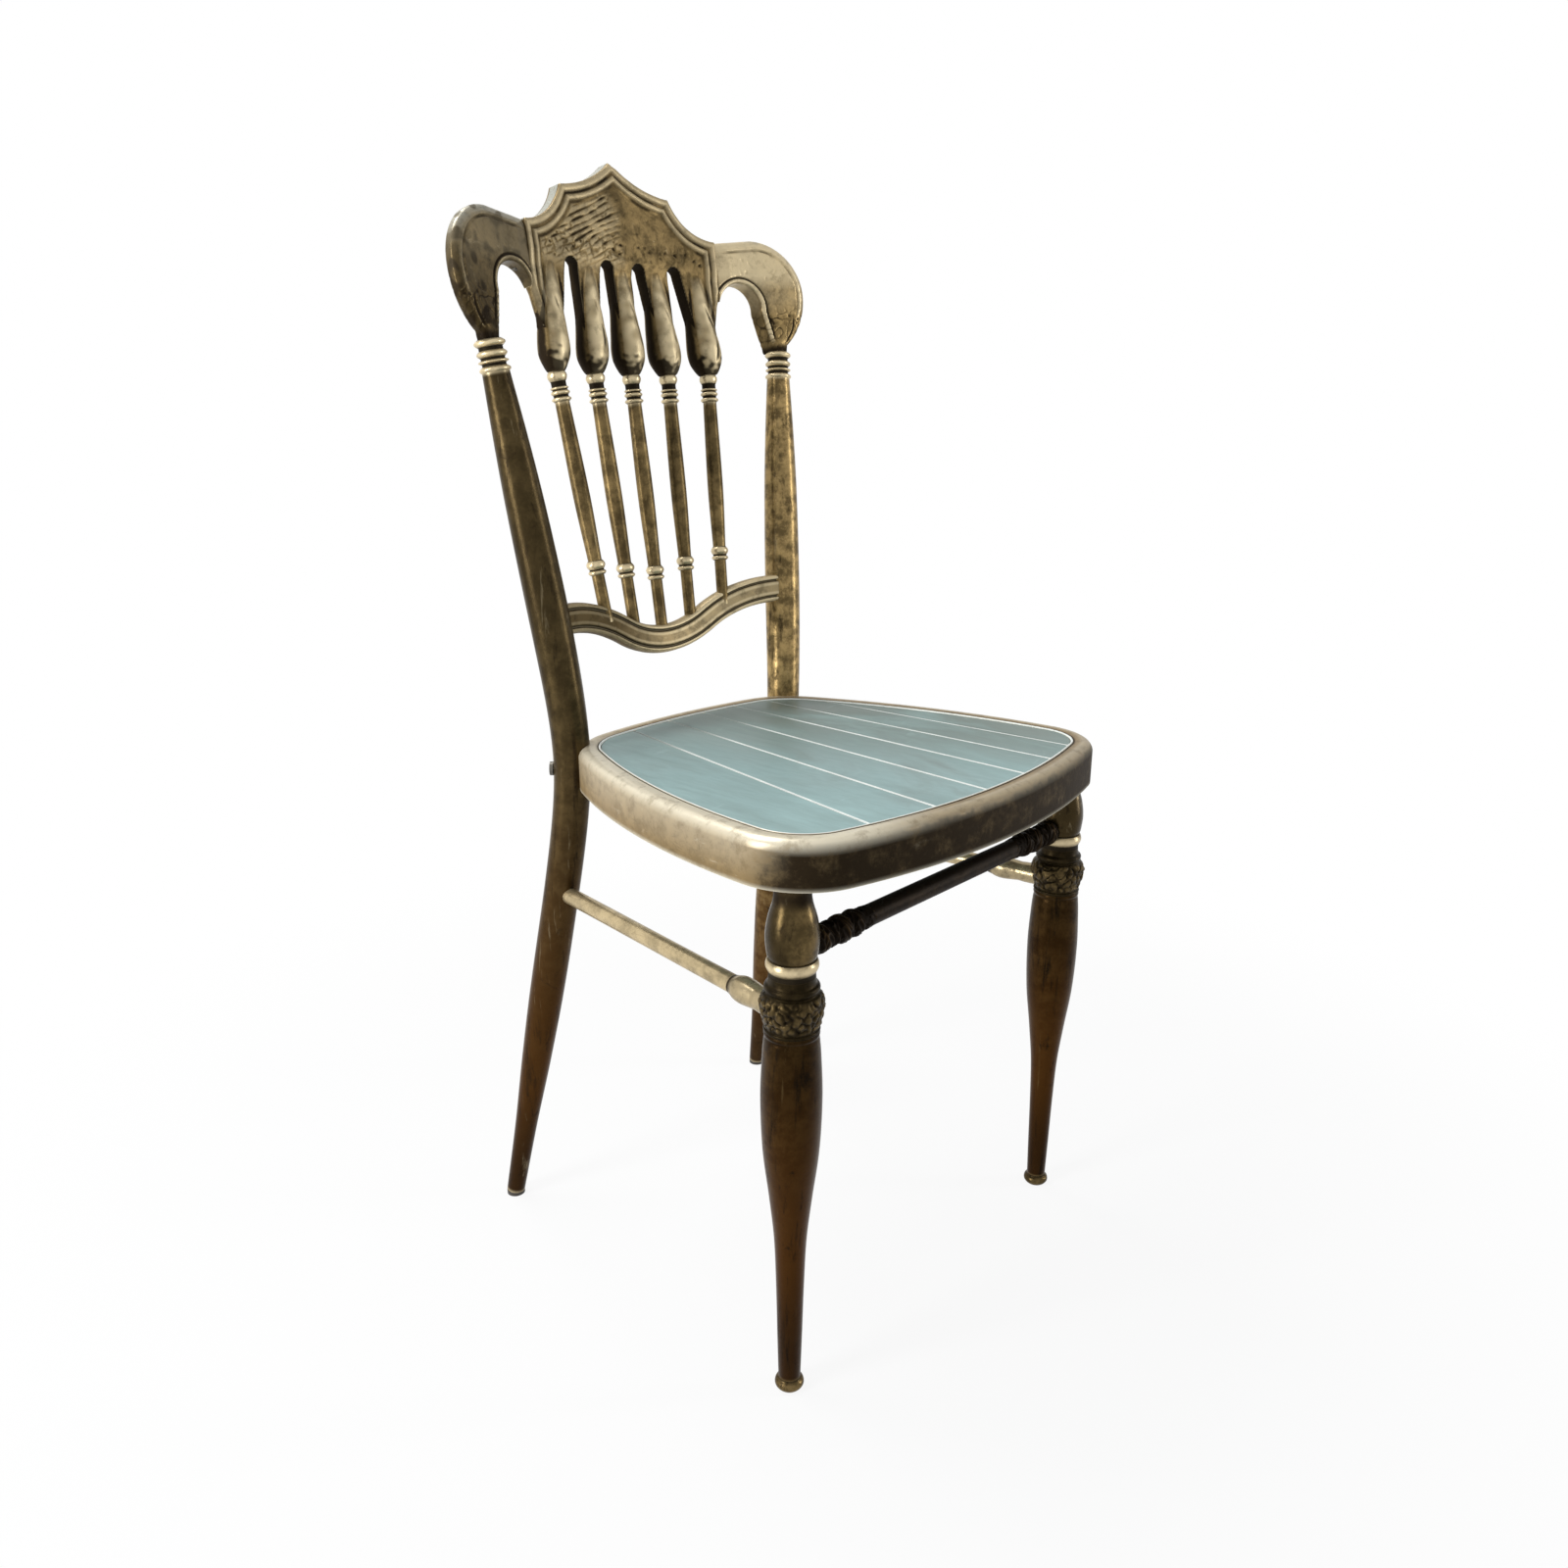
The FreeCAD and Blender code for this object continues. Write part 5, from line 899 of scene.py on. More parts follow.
def arch_lines():
    """Outer and inner edges of the left arch, and its closed outline."""
    rise = math.sqrt(ARCH_HOLE_RADIUS ** 2 - (ARCH_HOLE[0] - ARCH_CONTACT) ** 2)
    reach = math.sqrt(ARCH_HOLE_RADIUS ** 2 - ARCH_THROAT ** 2)
    flank_side = ARCH_CROWN[0] + ARCH_CROWN_RADIUS - ARCH_FLANK_RADIUS
    flank_reach = math.sqrt(ARCH_FLANK_RADIUS ** 2 - (ARCH_CROWN[1] - ARCH_FLANK) ** 2)
    start = (ARCH_CONTACT, ARCH_HOLE[1] + rise)
    hole_end = (ARCH_HOLE[0] + reach, ARCH_HOLE[1] - ARCH_THROAT)
    neck_in = (ARCH_NECK[0] - ARCH_NECK_HALF[0], ARCH_NECK[1] + ARCH_NECK_HALF[1])
    neck_out = (ARCH_NECK[0] + ARCH_NECK_HALF[0], ARCH_NECK[1] - ARCH_NECK_HALF[1])
    flank = (flank_side + flank_reach, ARCH_FLANK)
    crown_out = (ARCH_CROWN[0] + ARCH_CROWN_RADIUS, ARCH_CROWN[1])
    crown_top = (ARCH_CROWN[0], ARCH_CROWN[1] + ARCH_CROWN_RADIUS)
    inner = arc(start, hole_end, ARCH_HOLE_RADIUS, -1, 40) + straight(hole_end, neck_in, 2.0) + [neck_in]
    outer = straight(neck_out, flank, 2.0) + arc(flank, crown_out, ARCH_FLANK_RADIUS, 1, 16)
    outer += arc(crown_out, crown_top, ARCH_CROWN_RADIUS, 1, 40) + straight(crown_top, SHOULDER, 2.0)
    outer += [SHOULDER]
    closed = inner + straight(neck_in, neck_out, 2.0)[1:] + outer + straight(SHOULDER, start, 2.0)[1:]
    return np.array(outer), np.array(inner), np.array(closed)


def carve_arch(points, outer, inner, shape):
    """Round the arch's edges and run its beads and pits."""
    flat = points[:, [0, 2]]
    side, height = flat.T
    from_outer = distance_to(flat, outer, closed=False)
    from_inner = distance_to(flat, inner, closed=False)
    joint = ramp(side, ARCH_CONTACT, ARCH_CONTACT + 12.0)
    round_off = quarter_round(clamp(np.minimum(from_outer, from_inner + 4.0) / 12.0), 0.02)
    points = points.copy()
    points[:, 1] *= (0.26 + 0.74 * round_off) * (0.80 + 0.20 * joint)
    low = ramp(height, 44.0, 28.0)
    crown = ramp(height, 48.0, 66.0)
    neck = ramp(height, 7.0, -1.0)

    upper = ramp(height, 24.0, 38.0) * joint
    groove = bowl(from_outer, 9.6, 1.2) * upper * np.clip(0.7 + dents(points, 16.0, 25), 0.2, 1.0)
    lip = bowl(from_outer, 7.0, 2.2) * upper
    around = ramp(height, 4.0, 14.0)
    inner_groove = bowl(from_inner, 4.9, 1.3) * around
    inner_lip = bowl(from_inner, 2.3, 2.0) * around
    pits = clamp(dents(points, 4.2, 21) * 2.2 - 0.7) * (0.25 + 0.75 * low)
    worms = bowl(dents(points, 8.5, 23), 0.0, 0.085) * low
    curl = 2.0 + 10.5 * np.sin(math.pi * ramp(height, 3.0, 29.0) * 0.62)
    leaf = bowl(side - ARCH_NECK[0] - 3.0, curl, 1.3) * ramp(height, 3.0, 7.0) * ramp(height, 32.0, 23.0)

    hollow = np.maximum.reduce([groove * 0.6, inner_groove, pits * 0.75, worms * 0.55, leaf * 0.85, neck * 0.7])
    # Rubbed gold on the beads is wear; on the crown and the upper arch it is a painted highlight.
    rubbed = np.maximum.reduce([lip * 0.7, inner_lip * 0.95, 0.55 * crown, 0.15 * (1.0 - low)])
    rubbed *= 1.0 - np.minimum(1.0, hollow)
    dug = np.maximum.reduce([groove, inner_groove, pits * 0.7, worms * 0.4, leaf])
    # A painted silver highlight along the top of the outer edge.
    silver = ramp(height, 62.0, 82.0) * clamp(1.0 - from_outer / 9.0) * 0.9

    bulge = ((lip * 0.7 + inner_lip) * shape.relief - dug * shape.pits * DIG) / MM
    points[:, 1] += np.sign(points[:, 1]) * np.where(np.abs(points[:, 1]) > 1.5, bulge, 0.0)
    return points, {"hollow": hollow, "rubbed": rubbed, "silver": silver}


class CHAIR_OT_arches(bpy.types.Operator):
    """Build the two cast arches that carry the crest on the posts"""

    bl_idname = "chair.arches"
    bl_label = "Arches"

    def execute(self, context):
        outer, inner, closed = arch_lines()
        points, faces = cast_together("arch_cast", [prism(closed, ARCH_THICK / 2)], ARCH_GRAIN, SMOOTHINGS)
        points, marks = carve_arch(points, outer, inner, context.scene.chair_shape)
        blotches = dents(points, 10.0, 29) * 1.6 - 0.05
        points = leaned(points)
        for side, way in SIDES:
            darkest, highlight_gain = ARCH_SHADE_AND_HIGHLIGHT[side]
            shape = (points, faces) if way > 0 else flipped(points, faces)
            kept = {
                "hollow": np.maximum(marks["hollow"], np.clip(blotches, 0.0, darkest)),
                "rubbed": clamp(marks["rubbed"] * highlight_gain),
                "silver": marks["silver"],
            }
            add_piece(f"crest_arch_{side}_dressed", *shape, "arch", "cast_bronze_paint", f"crest_arch_{side}",
                      marks=kept, smooth=75.0)
        return {"FINISHED"}


# The rail

RAIL_CENTRE = (155.0, 540.0)
RAIL_SPAN = 123.8
RAIL_OVERLAP = 10.0
RAIL_RISE = 31.5
RAIL_DIP = 92.0
RAIL_HEIGHT = 26.0
RAIL_THICK = 14.0
RAIL_BOW = 356.0
RAIL_GROOVE = 5.4
RAIL_STEPS = 221
FACE_STEPS = 41


def rail_edge(side, drop):
    """Height of the rail's upper edge, or its lower edge at the rail's height below it."""
    total = (RAIL_SPAN ** 2 + RAIL_RISE ** 2) / (RAIL_RISE * 2)
    dip = RAIL_DIP + drop
    hump = total - dip
    turn = RAIL_SPAN * dip / total
    away = abs(side)
    if away <= turn:
        return dip - math.sqrt(dip ** 2 - away ** 2) - drop
    if away <= RAIL_SPAN:
        return RAIL_RISE - drop - hump + math.sqrt(hump ** 2 - (RAIL_SPAN - away) ** 2)
    return RAIL_RISE - drop


def rail_face(edge):
    """Share of the rail's thickness at a distance from its edge: a bead by each edge and a crowned middle."""
    shell = quarter_round(clamp(edge / 3.2))
    groove = bowl(edge, RAIL_GROOVE, 1.3) * 0.20
    middle = clamp((edge - 6.4) / 2.0) * 0.04
    return np.clip(shell * 0.95 - groove + middle, 0.04, 1.0)


class CHAIR_OT_rail(bpy.types.Operator):
    """Build the wavy rail with a bead along each edge"""

    bl_idname = "chair.rail"
    bl_label = "Back rail"

    def execute(self, context):
        share = np.concatenate([np.linspace(0.0, 1.0, FACE_STEPS), np.linspace(1.0, 0.0, FACE_STEPS)])
        face = np.concatenate([-np.ones(FACE_STEPS), np.ones(FACE_STEPS)])
        edge = np.minimum(share, 1.0 - share) * RAIL_HEIGHT
        thick = rail_face(edge)
        places = np.linspace(-RAIL_SPAN - RAIL_OVERLAP, RAIL_SPAN + RAIL_OVERLAP, RAIL_STEPS)
        points = []
        for side in places:
            top = rail_edge(side, 0.0)
            low = rail_edge(side, RAIL_HEIGHT)
            bow = math.sqrt(RAIL_BOW ** 2 - side ** 2) - RAIL_BOW
            height = low + (top - low) * share
            out = face * thick * RAIL_THICK / 2 + bow
            depths = RAIL_CENTRE[0] + out * math.cos(LEAN) + height * math.sin(LEAN)
            heights = RAIL_CENTRE[1] + height * math.cos(LEAN) - out * math.sin(LEAN)
            points.append(np.column_stack([np.full(len(share), side), depths, heights]))
        dark = bowl(edge, RAIL_GROOVE, 1.5)
        light = np.maximum(bowl(edge, 2.6, 1.9), bowl(edge, 8.6, 1.6) * 0.5)
        # Painted shade on the rail's right half and a painted highlight on its left half; the beads are rubbed bright
        # and the groove keeps patina.
        near = clamp(0.45 - places / 120.0)[:, None]
        hollow = np.maximum(dark, near * 0.38).ravel()
        rubbed = (light * (1.0 - near * 0.55) + (1.0 - near) * (1.0 - dark) * 0.35).ravel()
        add_piece("back_rail_dressed", np.vstack(points), ring_faces(len(places), len(share)), "cast",
                  "cast_bronze_paint", "back_rail", marks={"hollow": hollow, "rubbed": rubbed}, smooth=60.0)
        return {"FINISHED"}


# Posts, collars and spindles

# The post's centre line: across and in depth at the foot, the waist and the top.
POST = (("foot", 172.1, 197.8), ("waist", 135.6, 126.4), ("top", 168.2, 164.3))
POST_WAIST_HEIGHT = 440.0
POST_JOINT_HEIGHT = 782.0
POST_SOFTNESS = 62.0
# (height, radius) up the post.
POST_RADII = (
    (4.0, 8.4), (80.0, 10.3), (150.0, 13.4), (225.0, 15.4), (330.0, 15.6), (440.0, 15.8), (560.0, 17.0),
    (650.0, 16.0), (705.0, 14.0), (759.0, 11.0),
)
COLLAR_HEIGHT = 759.0
COLLAR_LENGTH = 23.6
COLLAR_RING = 12.6
COLLAR_GROOVE = 9.6
# Feet of the spindles across the rail, and how far above the foot their double beads sit.
SPINDLE_FEET = (0.0, 35.0, 72.5)
SPINDLE_BEADS = (56.4, 57.1, 48.1)
BEAD_HALF = 6.25
CAP_LENGTH = 24.6


def bent(axis, height):
    """Place of the post's centre line across (1) or in depth (2) at a height."""
    foot, waist, top = (station[axis] for station in POST)
    above = POST_JOINT_HEIGHT - POST_WAIST_HEIGHT
    below = POST_WAIST_HEIGHT
    rise_above = math.hypot(above, POST_SOFTNESS) - POST_SOFTNESS
    rise_below = math.hypot(below, POST_SOFTNESS) - POST_SOFTNESS
    bend = (below * (top - waist) + above * (foot - waist)) / (below * rise_above + above * rise_below)
    tilt = (top - waist - bend * rise_above) / above
    away = height - POST_WAIST_HEIGHT
    return waist + tilt * away + bend * (np.hypot(away, POST_SOFTNESS) - POST_SOFTNESS)


def post_point(height):
    """Centre of the left post at a height."""
    return np.array([bent(1, height), bent(2, height), height])


class CHAIR_OT_posts(bpy.types.Operator):
    """Build the bent back posts and their ringed collars"""

    bl_idname = "chair.posts"
    bl_label = "Back posts"

    def execute(self, context):
        profile = curve_through(POST_RADII, 18)
        line = [post_point(height) for height in profile[:, 0]]
        points, faces = swept(line, profile[:, 1])
        add_pair("back_post", points, faces, "post", "tube_bronze_paint")
        self.collars()
        return {"FINISHED"}

    def collars(self):
        """The ringed collar on top of each post."""
        around = 56
        top = post_point(COLLAR_HEIGHT)
        way = post_point(COLLAR_HEIGHT + 0.5) - post_point(COLLAR_HEIGHT - 0.5)
        stations = bead(-1.0, COLLAR_LENGTH * 0.2, COLLAR_GROOVE, COLLAR_RING)
        stations += bead(COLLAR_LENGTH * 0.27, COLLAR_LENGTH * 0.40, COLLAR_GROOVE, COLLAR_RING * 0.97)
        stations += bead(COLLAR_LENGTH * 0.46, COLLAR_LENGTH * 0.70, COLLAR_GROOVE, COLLAR_RING * 0.97)
        stations += bead(COLLAR_LENGTH * 0.80, COLLAR_LENGTH + 1.2, COLLAR_GROOVE, COLLAR_RING)
        points, faces = turned(stations, around)
        swell = np.repeat(np.array(stations)[:, 1] - COLLAR_GROOVE, around)
        add_pair("post_collar", aimed(points, top, way), faces, "ring", "cast_bronze_paint",
                 marks={"hollow": clamp(1.0 - swell / 1.3), "rubbed": clamp(swell / 2.4)})


def spindle_ends(index):
    """Top and foot of one spindle, counted from the middle."""
    way = 1 if index >= 0 else -1
    side = FINGERS[abs(index)][1] * way
    foot_side = SPINDLE_FEET[abs(index)] * way
    top = leaned([(side, 0.0, FINGER_FOOT)])[0]
    rise = foot_side ** 2 / RAIL_SPAN ** 2 * RAIL_RISE * 1.9
    depth = RAIL_CENTRE[0] + math.sqrt(RAIL_BOW ** 2 - foot_side ** 2) - RAIL_BOW
    foot = np.array([foot_side, depth, RAIL_CENTRE[1] + rise - RAIL_HEIGHT * 0.35])
    return top, foot


class CHAIR_OT_spindles(bpy.types.Operator):
    """Build the five spindles with their caps and double beads"""

    bl_idname = "chair.spindles"
    bl_label = "Spindles"

    def execute(self, context):
        beads = []
        for number, index in enumerate(range(-2, 3), start=1):
            top, foot = spindle_ends(index)
            way = top - foot
            long = np.linalg.norm(way)
            drop = long - SPINDLE_BEADS[abs(index)]
            lower = curve_through([(-long, 5.5), (-drop - BEAD_HALF, 5.5)], 6)
            upper = curve_through([(-drop + BEAD_HALF, 6.0), (-105.0, 7.3), (-CAP_LENGTH + 1.0, 6.2)], 16)
            points, faces = turned(np.vstack([lower, upper]), 40)
            add_piece(f"spindle_{number}_dressed", aimed(points, top, way), faces, "tube", "tube_bronze_paint",
                      f"back_spindle_{number}")
            cap = bead(-CAP_LENGTH, -CAP_LENGTH * 0.84, 6.4, 8.4)
            cap += bead(-CAP_LENGTH * 0.78, -CAP_LENGTH * 0.62, 6.4, 8.1)
            cap += bead(-CAP_LENGTH * 0.60, -CAP_LENGTH * 0.50, 6.4, 7.8)
            cap += bead(-CAP_LENGTH * 0.34, 1.0, 6.4, 8.4)
            self.ringed(f"spindle_cap_{number}_dressed", [(cap, top, way)], "cast_bronze_paint",
                        f"spindle_cap_{number}")
            double = bead(-drop - BEAD_HALF, -drop - BEAD_HALF * 0.35, 6.3, 7.9)
            double += bead(-drop - BEAD_HALF * 0.25, -drop + BEAD_HALF, 6.3, 8.3)
            beads.append((double, top, way))
        self.ringed("spindle_beads_dressed", beads, "bead_gilt", "spindle_beads")
        return {"FINISHED"}

    def ringed(self, name, parts, slot, node):
        """One piece of turned rings, marked dark in its grooves and bright on its crowns."""
        around = 44
        points, faces, swells = [], [], []
        for stations, start, way in parts:
            some, sides = turned(stations, around)
            count = sum(len(block) for block in points)
            points.append(aimed(some, start, way))
            faces += [tuple(index + count for index in side) for side in sides]
            radii = np.array(stations)[:, 1]
            swells.append(np.repeat((radii - radii.min()) / (radii.max() - radii.min()), around))
        swell = np.concatenate(swells)
        add_piece(name, np.vstack(points), faces, "ring", slot, node,
                  marks={"hollow": clamp(1.0 - swell * 2.4), "rubbed": swell})


# The seat

SEAT_FRONT = 227.0
SEAT_REAR = 147.0
SEAT_HALF = 208.0
SEAT_WIDEST = 164.0
SEAT_FRONT_RADIUS = 600.0
SEAT_REAR_RADIUS = 610.0
SEAT_SIDE_RADIUS = 606.0
SEAT_FRONT_CORNER = 62.0
SEAT_REAR_CORNER = 75.0


def seat_arcs():
    """Centre and radius of each arc around the seat, starting at the front."""
    front = (np.array([0.0, -SEAT_FRONT + SEAT_FRONT_RADIUS]), SEAT_FRONT_RADIUS)
    rear = (np.array([0.0, SEAT_REAR - SEAT_REAR_RADIUS]), SEAT_REAR_RADIUS)
    left = (np.array([SEAT_HALF - SEAT_SIDE_RADIUS, -SEAT_WIDEST]), SEAT_SIDE_RADIUS)
    front_corner = tangent_centre(front, left, SEAT_FRONT_CORNER, -SEAT_REAR)
    rear_corner = tangent_centre(rear, left, SEAT_REAR_CORNER, SEAT_REAR)
    flip = np.array([-1.0, 1.0])
    return [
        front, (front_corner, SEAT_FRONT_CORNER), left, (rear_corner, SEAT_REAR_CORNER), rear,
        (rear_corner * flip, SEAT_REAR_CORNER), (left[0] * flip, SEAT_SIDE_RADIUS),
        (front_corner * flip, SEAT_FRONT_CORNER),
    ]


def tangent_centre(one, two, radius, depth):
    """Centre of the corner arc that touches two larger arcs from inside."""
    first, second = one[1] - radius, two[1] - radius
    apart = two[0] - one[0]
    gap = np.linalg.norm(apart)
    along = (gap ** 2 + first ** 2 - second ** 2) / (2 * gap)
    across = math.sqrt(first ** 2 - along ** 2)
    foot = one[0] + apart * along / gap
    left = np.array([-apart[1], apart[0]]) / gap
    near = np.array([SEAT_HALF, depth])
    found = [foot + left * across, foot - left * across]
    return min(found, key=lambda point: np.linalg.norm(point - near))


def seat_loop(steps=26):
    """Centres, directions and radii around the seat; a point at an inset is centre + (radius - inset) * way."""
    arcs = seat_arcs()
    turns = []
    for index, (centre, radius) in enumerate(arcs):
        next_centre, next_radius = arcs[(index + 1) % len(arcs)]
        way = next_centre - centre if radius > next_radius else centre - next_centre
        turns.append(math.atan2(way[1], way[0]))
    rows = []
    for index, (centre, radius) in enumerate(arcs):
        low, high = turns[index - 1], turns[index]
        while high < low:
            high += 2 * math.pi
        for angle in np.linspace(low, high, steps, endpoint=False):
            rows.append((*centre, math.cos(angle), math.sin(angle), radius))
    return np.array(rows)


def seat_outline(inset, steps=26):
    """The seat's outline, moved inwards."""
    rows = seat_loop(steps)
    return rows[:, :2] + rows[:, 2:4] * (rows[:, 4:5] - inset)


# Section of the rim as (inset, height, hollow and painted shade, wear and painted highlight): up its outside, over the
# top, the bead painted bright as a highlight, and back below.
RIM_TOP = 448.0
RIM_ROUND = 9.0
RIM_SKIRT = [(0.9, 420.0, 0.3, 0.3), (0.0, 421.0, 0.2, 0.4)]
RIM_FLAT = [(10.5, 456.95, 0.0, 0.35), (12.0, 456.75, 0.0, 0.1), (14.0, 456.6, 0.15, 0.0), (15.6, 456.5, 0.45, 0.0)]
RIM_BEAD = [
    (16.4, 456.1, 0.9, 0.0), (16.9, 456.2, 0.8, 0.0), (17.3, 456.75, 0.0, 0.9), (18.1, 456.95, 0.0, 1.0),
    (18.8, 456.7, 0.0, 1.0), (19.1, 456.0, 0.1, 0.8),
]
RIM_INSIDE = [
    (19.1, 450.0, 1.0, 0.0), (31.0, 450.0, 1.0, 0.0), (31.0, 447.5, 1.0, 0.0), (2.5, 447.5, 1.0, 0.0),
    (2.5, 420.0, 0.7, 0.0),
]
# The rim starts this far inside the frame's outline, and its bead lies between these insets.
RIM_CLEARANCE = 0.08
BEAD_SPAN = (17.2, 19.0)


def rim_section():
    """The rim's whole section."""
    section = list(RIM_SKIRT)
    section += [(0.0, height, 0.15 if height < 428 else 0.0, 0.0) for height in np.linspace(424.0, 446.0, 9)]
    for turn in np.linspace(0.0, math.pi / 2, 15):
        inset = RIM_ROUND - RIM_ROUND * math.cos(turn)
        section.append((inset, RIM_TOP + RIM_ROUND * math.sin(turn), 0.0, 0.55 * math.sin(turn)))
    return np.array(section + RIM_FLAT + RIM_BEAD + RIM_INSIDE)


class CHAIR_OT_seat_rim(bpy.types.Operator):
    """Build the seat's rolled rim with the bead around its panel painted bright as a highlight"""

    bl_idname = "chair.seat_rim"
    bl_label = "Seat rim"

    def execute(self, context):
        section = rim_section()
        inset, height, dark, light = section.T
        # Painted shade towards the foot of the outer wall.
        low = ramp(height, 452.0, 426.0) * (inset < RIM_ROUND)
        outside = np.maximum(0.0, 1.0 - inset / 5.0)
        upper = ramp(height, 447.0, 455.0) * (inset < 16.0)
        loop = seat_loop(34)
        points, hollow, rubbed = [], [], []
        for row in loop:
            across, depth = row[:2] + row[2:4] * row[4]
            # Painted shade darkens the front, and a painted highlight brightens the top on the right side.
            front_shade = ramp(-depth, 138.0, 180.0)
            side_top_highlight = ramp(-across, 60.0, 150.0) * clamp(1.2 + depth / -400.0) * 0.85 * upper
            spots = row[:2] + row[2:4] * (row[4] - np.maximum(inset, RIM_CLEARANCE))[:, None]
            points.append(np.column_stack([spots, height]))
            hollow.append(np.maximum(dark, low * 0.06 + outside * front_shade * 0.66))
            # The rubbed share is a painted highlight, weaker along the front and on the lower wall.
            faded = light * (1.0 - 0.45 * front_shade) + outside * (1.0 - low) * (1.0 - front_shade) * 0.30
            rubbed.append(np.maximum(faded, side_top_highlight))
        around, count = len(section), len(loop)
        faces = []
        for row in range(count):
            here, after = row * around, (row + 1) % count * around
            for step in range(around):
                beside = (step + 1) % around
                faces.append((here + step, after + step, after + beside, here + beside))
        piece = add_piece("seat_rim_dressed", np.vstack(points), faces, "rim", "seat_rim_paint", "seat_frame",
                          marks={"hollow": np.concatenate(hollow), "rubbed": np.concatenate(rubbed)},
                          smooth=50.0, second="panel_line")
        on_bead = (inset > BEAD_SPAN[0]) & (inset < BEAD_SPAN[1])
        piece.data.polygons.foreach_set("material_index", np.tile(on_bead.astype(np.int32), count))
        return {"FINISHED"}


def clipped(line, point, way):
    """The part of a closed outline that lies to the left of a line."""
    kept = []
    normal = np.array([-way[1], way[0]])
    for index, here in enumerate(line):
        after = line[(index + 1) % len(line)]
        one, two = (here - point) @ normal, (after - point) @ normal
        if one >= 0:
            kept.append(here)
        if one * two < 0:
            kept.append(here + (after - here) * one / (one - two))
    return np.array(kept)


# The gaps between slats fan out from one point behind the seat; they cross the front at FAN_DEPTH.
FAN = np.array([92.0, 918.0])
FAN_DEPTH = -197.0
SLATS = 7
SLAT_GAP = 1.2
SLAT_LOW = 450.0
SLAT_TOP = 456.0
PANEL_INSET = 19.6


class CHAIR_OT_slats(bpy.types.Operator):
    """Build the fan of seat slats with rounded edges painted pale as a highlight"""

    bl_idname = "chair.slats"
    bl_label = "Seat slats"

    def execute(self, context):
        edge = context.scene.chair_shape.slat_edge / MM
        panel = seat_outline(PANEL_INSET, 40)
        lines = [-131.0 + 68.0 * index - 2.2 * index ** 2 for index in range(SLATS - 1)]
        for number in range(SLATS):
            strip = panel
            if number > 0:
                spot = np.array([lines[number - 1] + SLAT_GAP / 2, FAN_DEPTH])
                strip = clipped(strip, spot, spot - FAN)
            if number < SLATS - 1:
                spot = np.array([lines[number] - SLAT_GAP / 2, FAN_DEPTH])
                strip = clipped(strip, spot, FAN - spot)
            self.slat(number + 1, strip, edge)
        return {"FINISHED"}

    def slat(self, number, strip, edge):
        """One slat from its outline, its upper edge rounded and painted pale as a highlight."""
        build = bmesh.new()
        low = [build.verts.new((x * MM, y * MM, SLAT_LOW * MM)) for x, y in strip]
        high = [build.verts.new((x * MM, y * MM, SLAT_TOP * MM)) for x, y in strip]
        build.faces.new(low[::-1])
        build.faces.new(high)
        count = len(strip)
        for index in range(count):
            after = (index + 1) % count
            build.faces.new((low[index], low[after], high[after], high[index]))
        rim = [spoke for spoke in build.edges if all(corner in high for corner in spoke.verts)]
        made = bmesh.ops.bevel(build, geom=rim, offset=edge * MM, segments=3, profile=0.6, affect="EDGES",
                               clamp_overlap=True)
        for face in made["faces"]:
            face.material_index = 1
        for face in build.faces:
            if abs(face.normal.z) < 0.2 and face.calc_center_median().z > (SLAT_LOW + 2.0) * MM:
                face.material_index = 1
        bmesh.ops.recalc_face_normals(build, faces=build.faces)
        mesh = bpy.data.meshes.new(f"seat_slat_{number}_dressed")
        build.to_mesh(mesh)
        build.free()
        mesh.shade_smooth()
        mesh.set_sharp_from_angle(angle=math.radians(40.0))
        settle(bpy.data.objects.new(mesh.name, mesh), "slat", [f"seat_slat_{number}"], "slat_edge")


# Legs

# Where a front leg stands, and (height, radius) up each of its turned parts.
LEG = (183.4, -169.0)
LEG_FOOT = ((0.0, 7.5), (1.2, 9.3), (3.4, 11.0), (5.5, 11.4), (8.0, 10.6), (9.8, 8.7), (11.2, 8.6))
LEG_SHAFT = (
    (11.0, 8.6), (45.0, 9.5), (95.0, 10.7), (136.0, 12.4), (172.0, 16.2), (212.0, 21.0), (256.0, 22.7),
    (290.0, 21.4), (303.0, 20.3), (306.0, 19.8), (308.0, 20.4), (310.0, 20.0),
)
LEG_KNOT = (
    (309.8, 19.4), (311.0, 20.5), (312.4, 20.3), (313.0, 19.6), (320.0, 21.2), (327.0, 22.6), (333.0, 22.8),
    (338.5, 21.0), (340.0, 19.0), (341.5, 19.6), (343.5, 20.2), (345.5, 19.6), (346.8, 17.9), (349.5, 17.2),
    (352.2, 17.0),
)
LEG_RING = (
    (351.6, 16.9), (353.5, 16.9), (355.0, 17.1), (356.5, 17.6), (358.5, 18.6), (360.5, 19.1), (362.5, 18.9),
    (364.0, 18.4), (365.0, 17.8),
)
LEG_CROWN = (
    (364.6, 16.4), (366.0, 17.2), (370.0, 18.4), (383.0, 19.4), (396.0, 17.6), (408.0, 14.2), (414.0, 13.5),
    (420.2, 14.4),
)
# Rows of leaves around the knot as (middle height, half height, share of the leaves' relief), and the
# heights between which the knot is carved.
LEAF_ROWS = ((337.5, 6.0, 0.8), (328.0, 8.5, 1.0), (317.5, 7.0, 0.9))
LEAF_BELT = (313.0, 340.0)
LEAF_RADIUS = 21.0


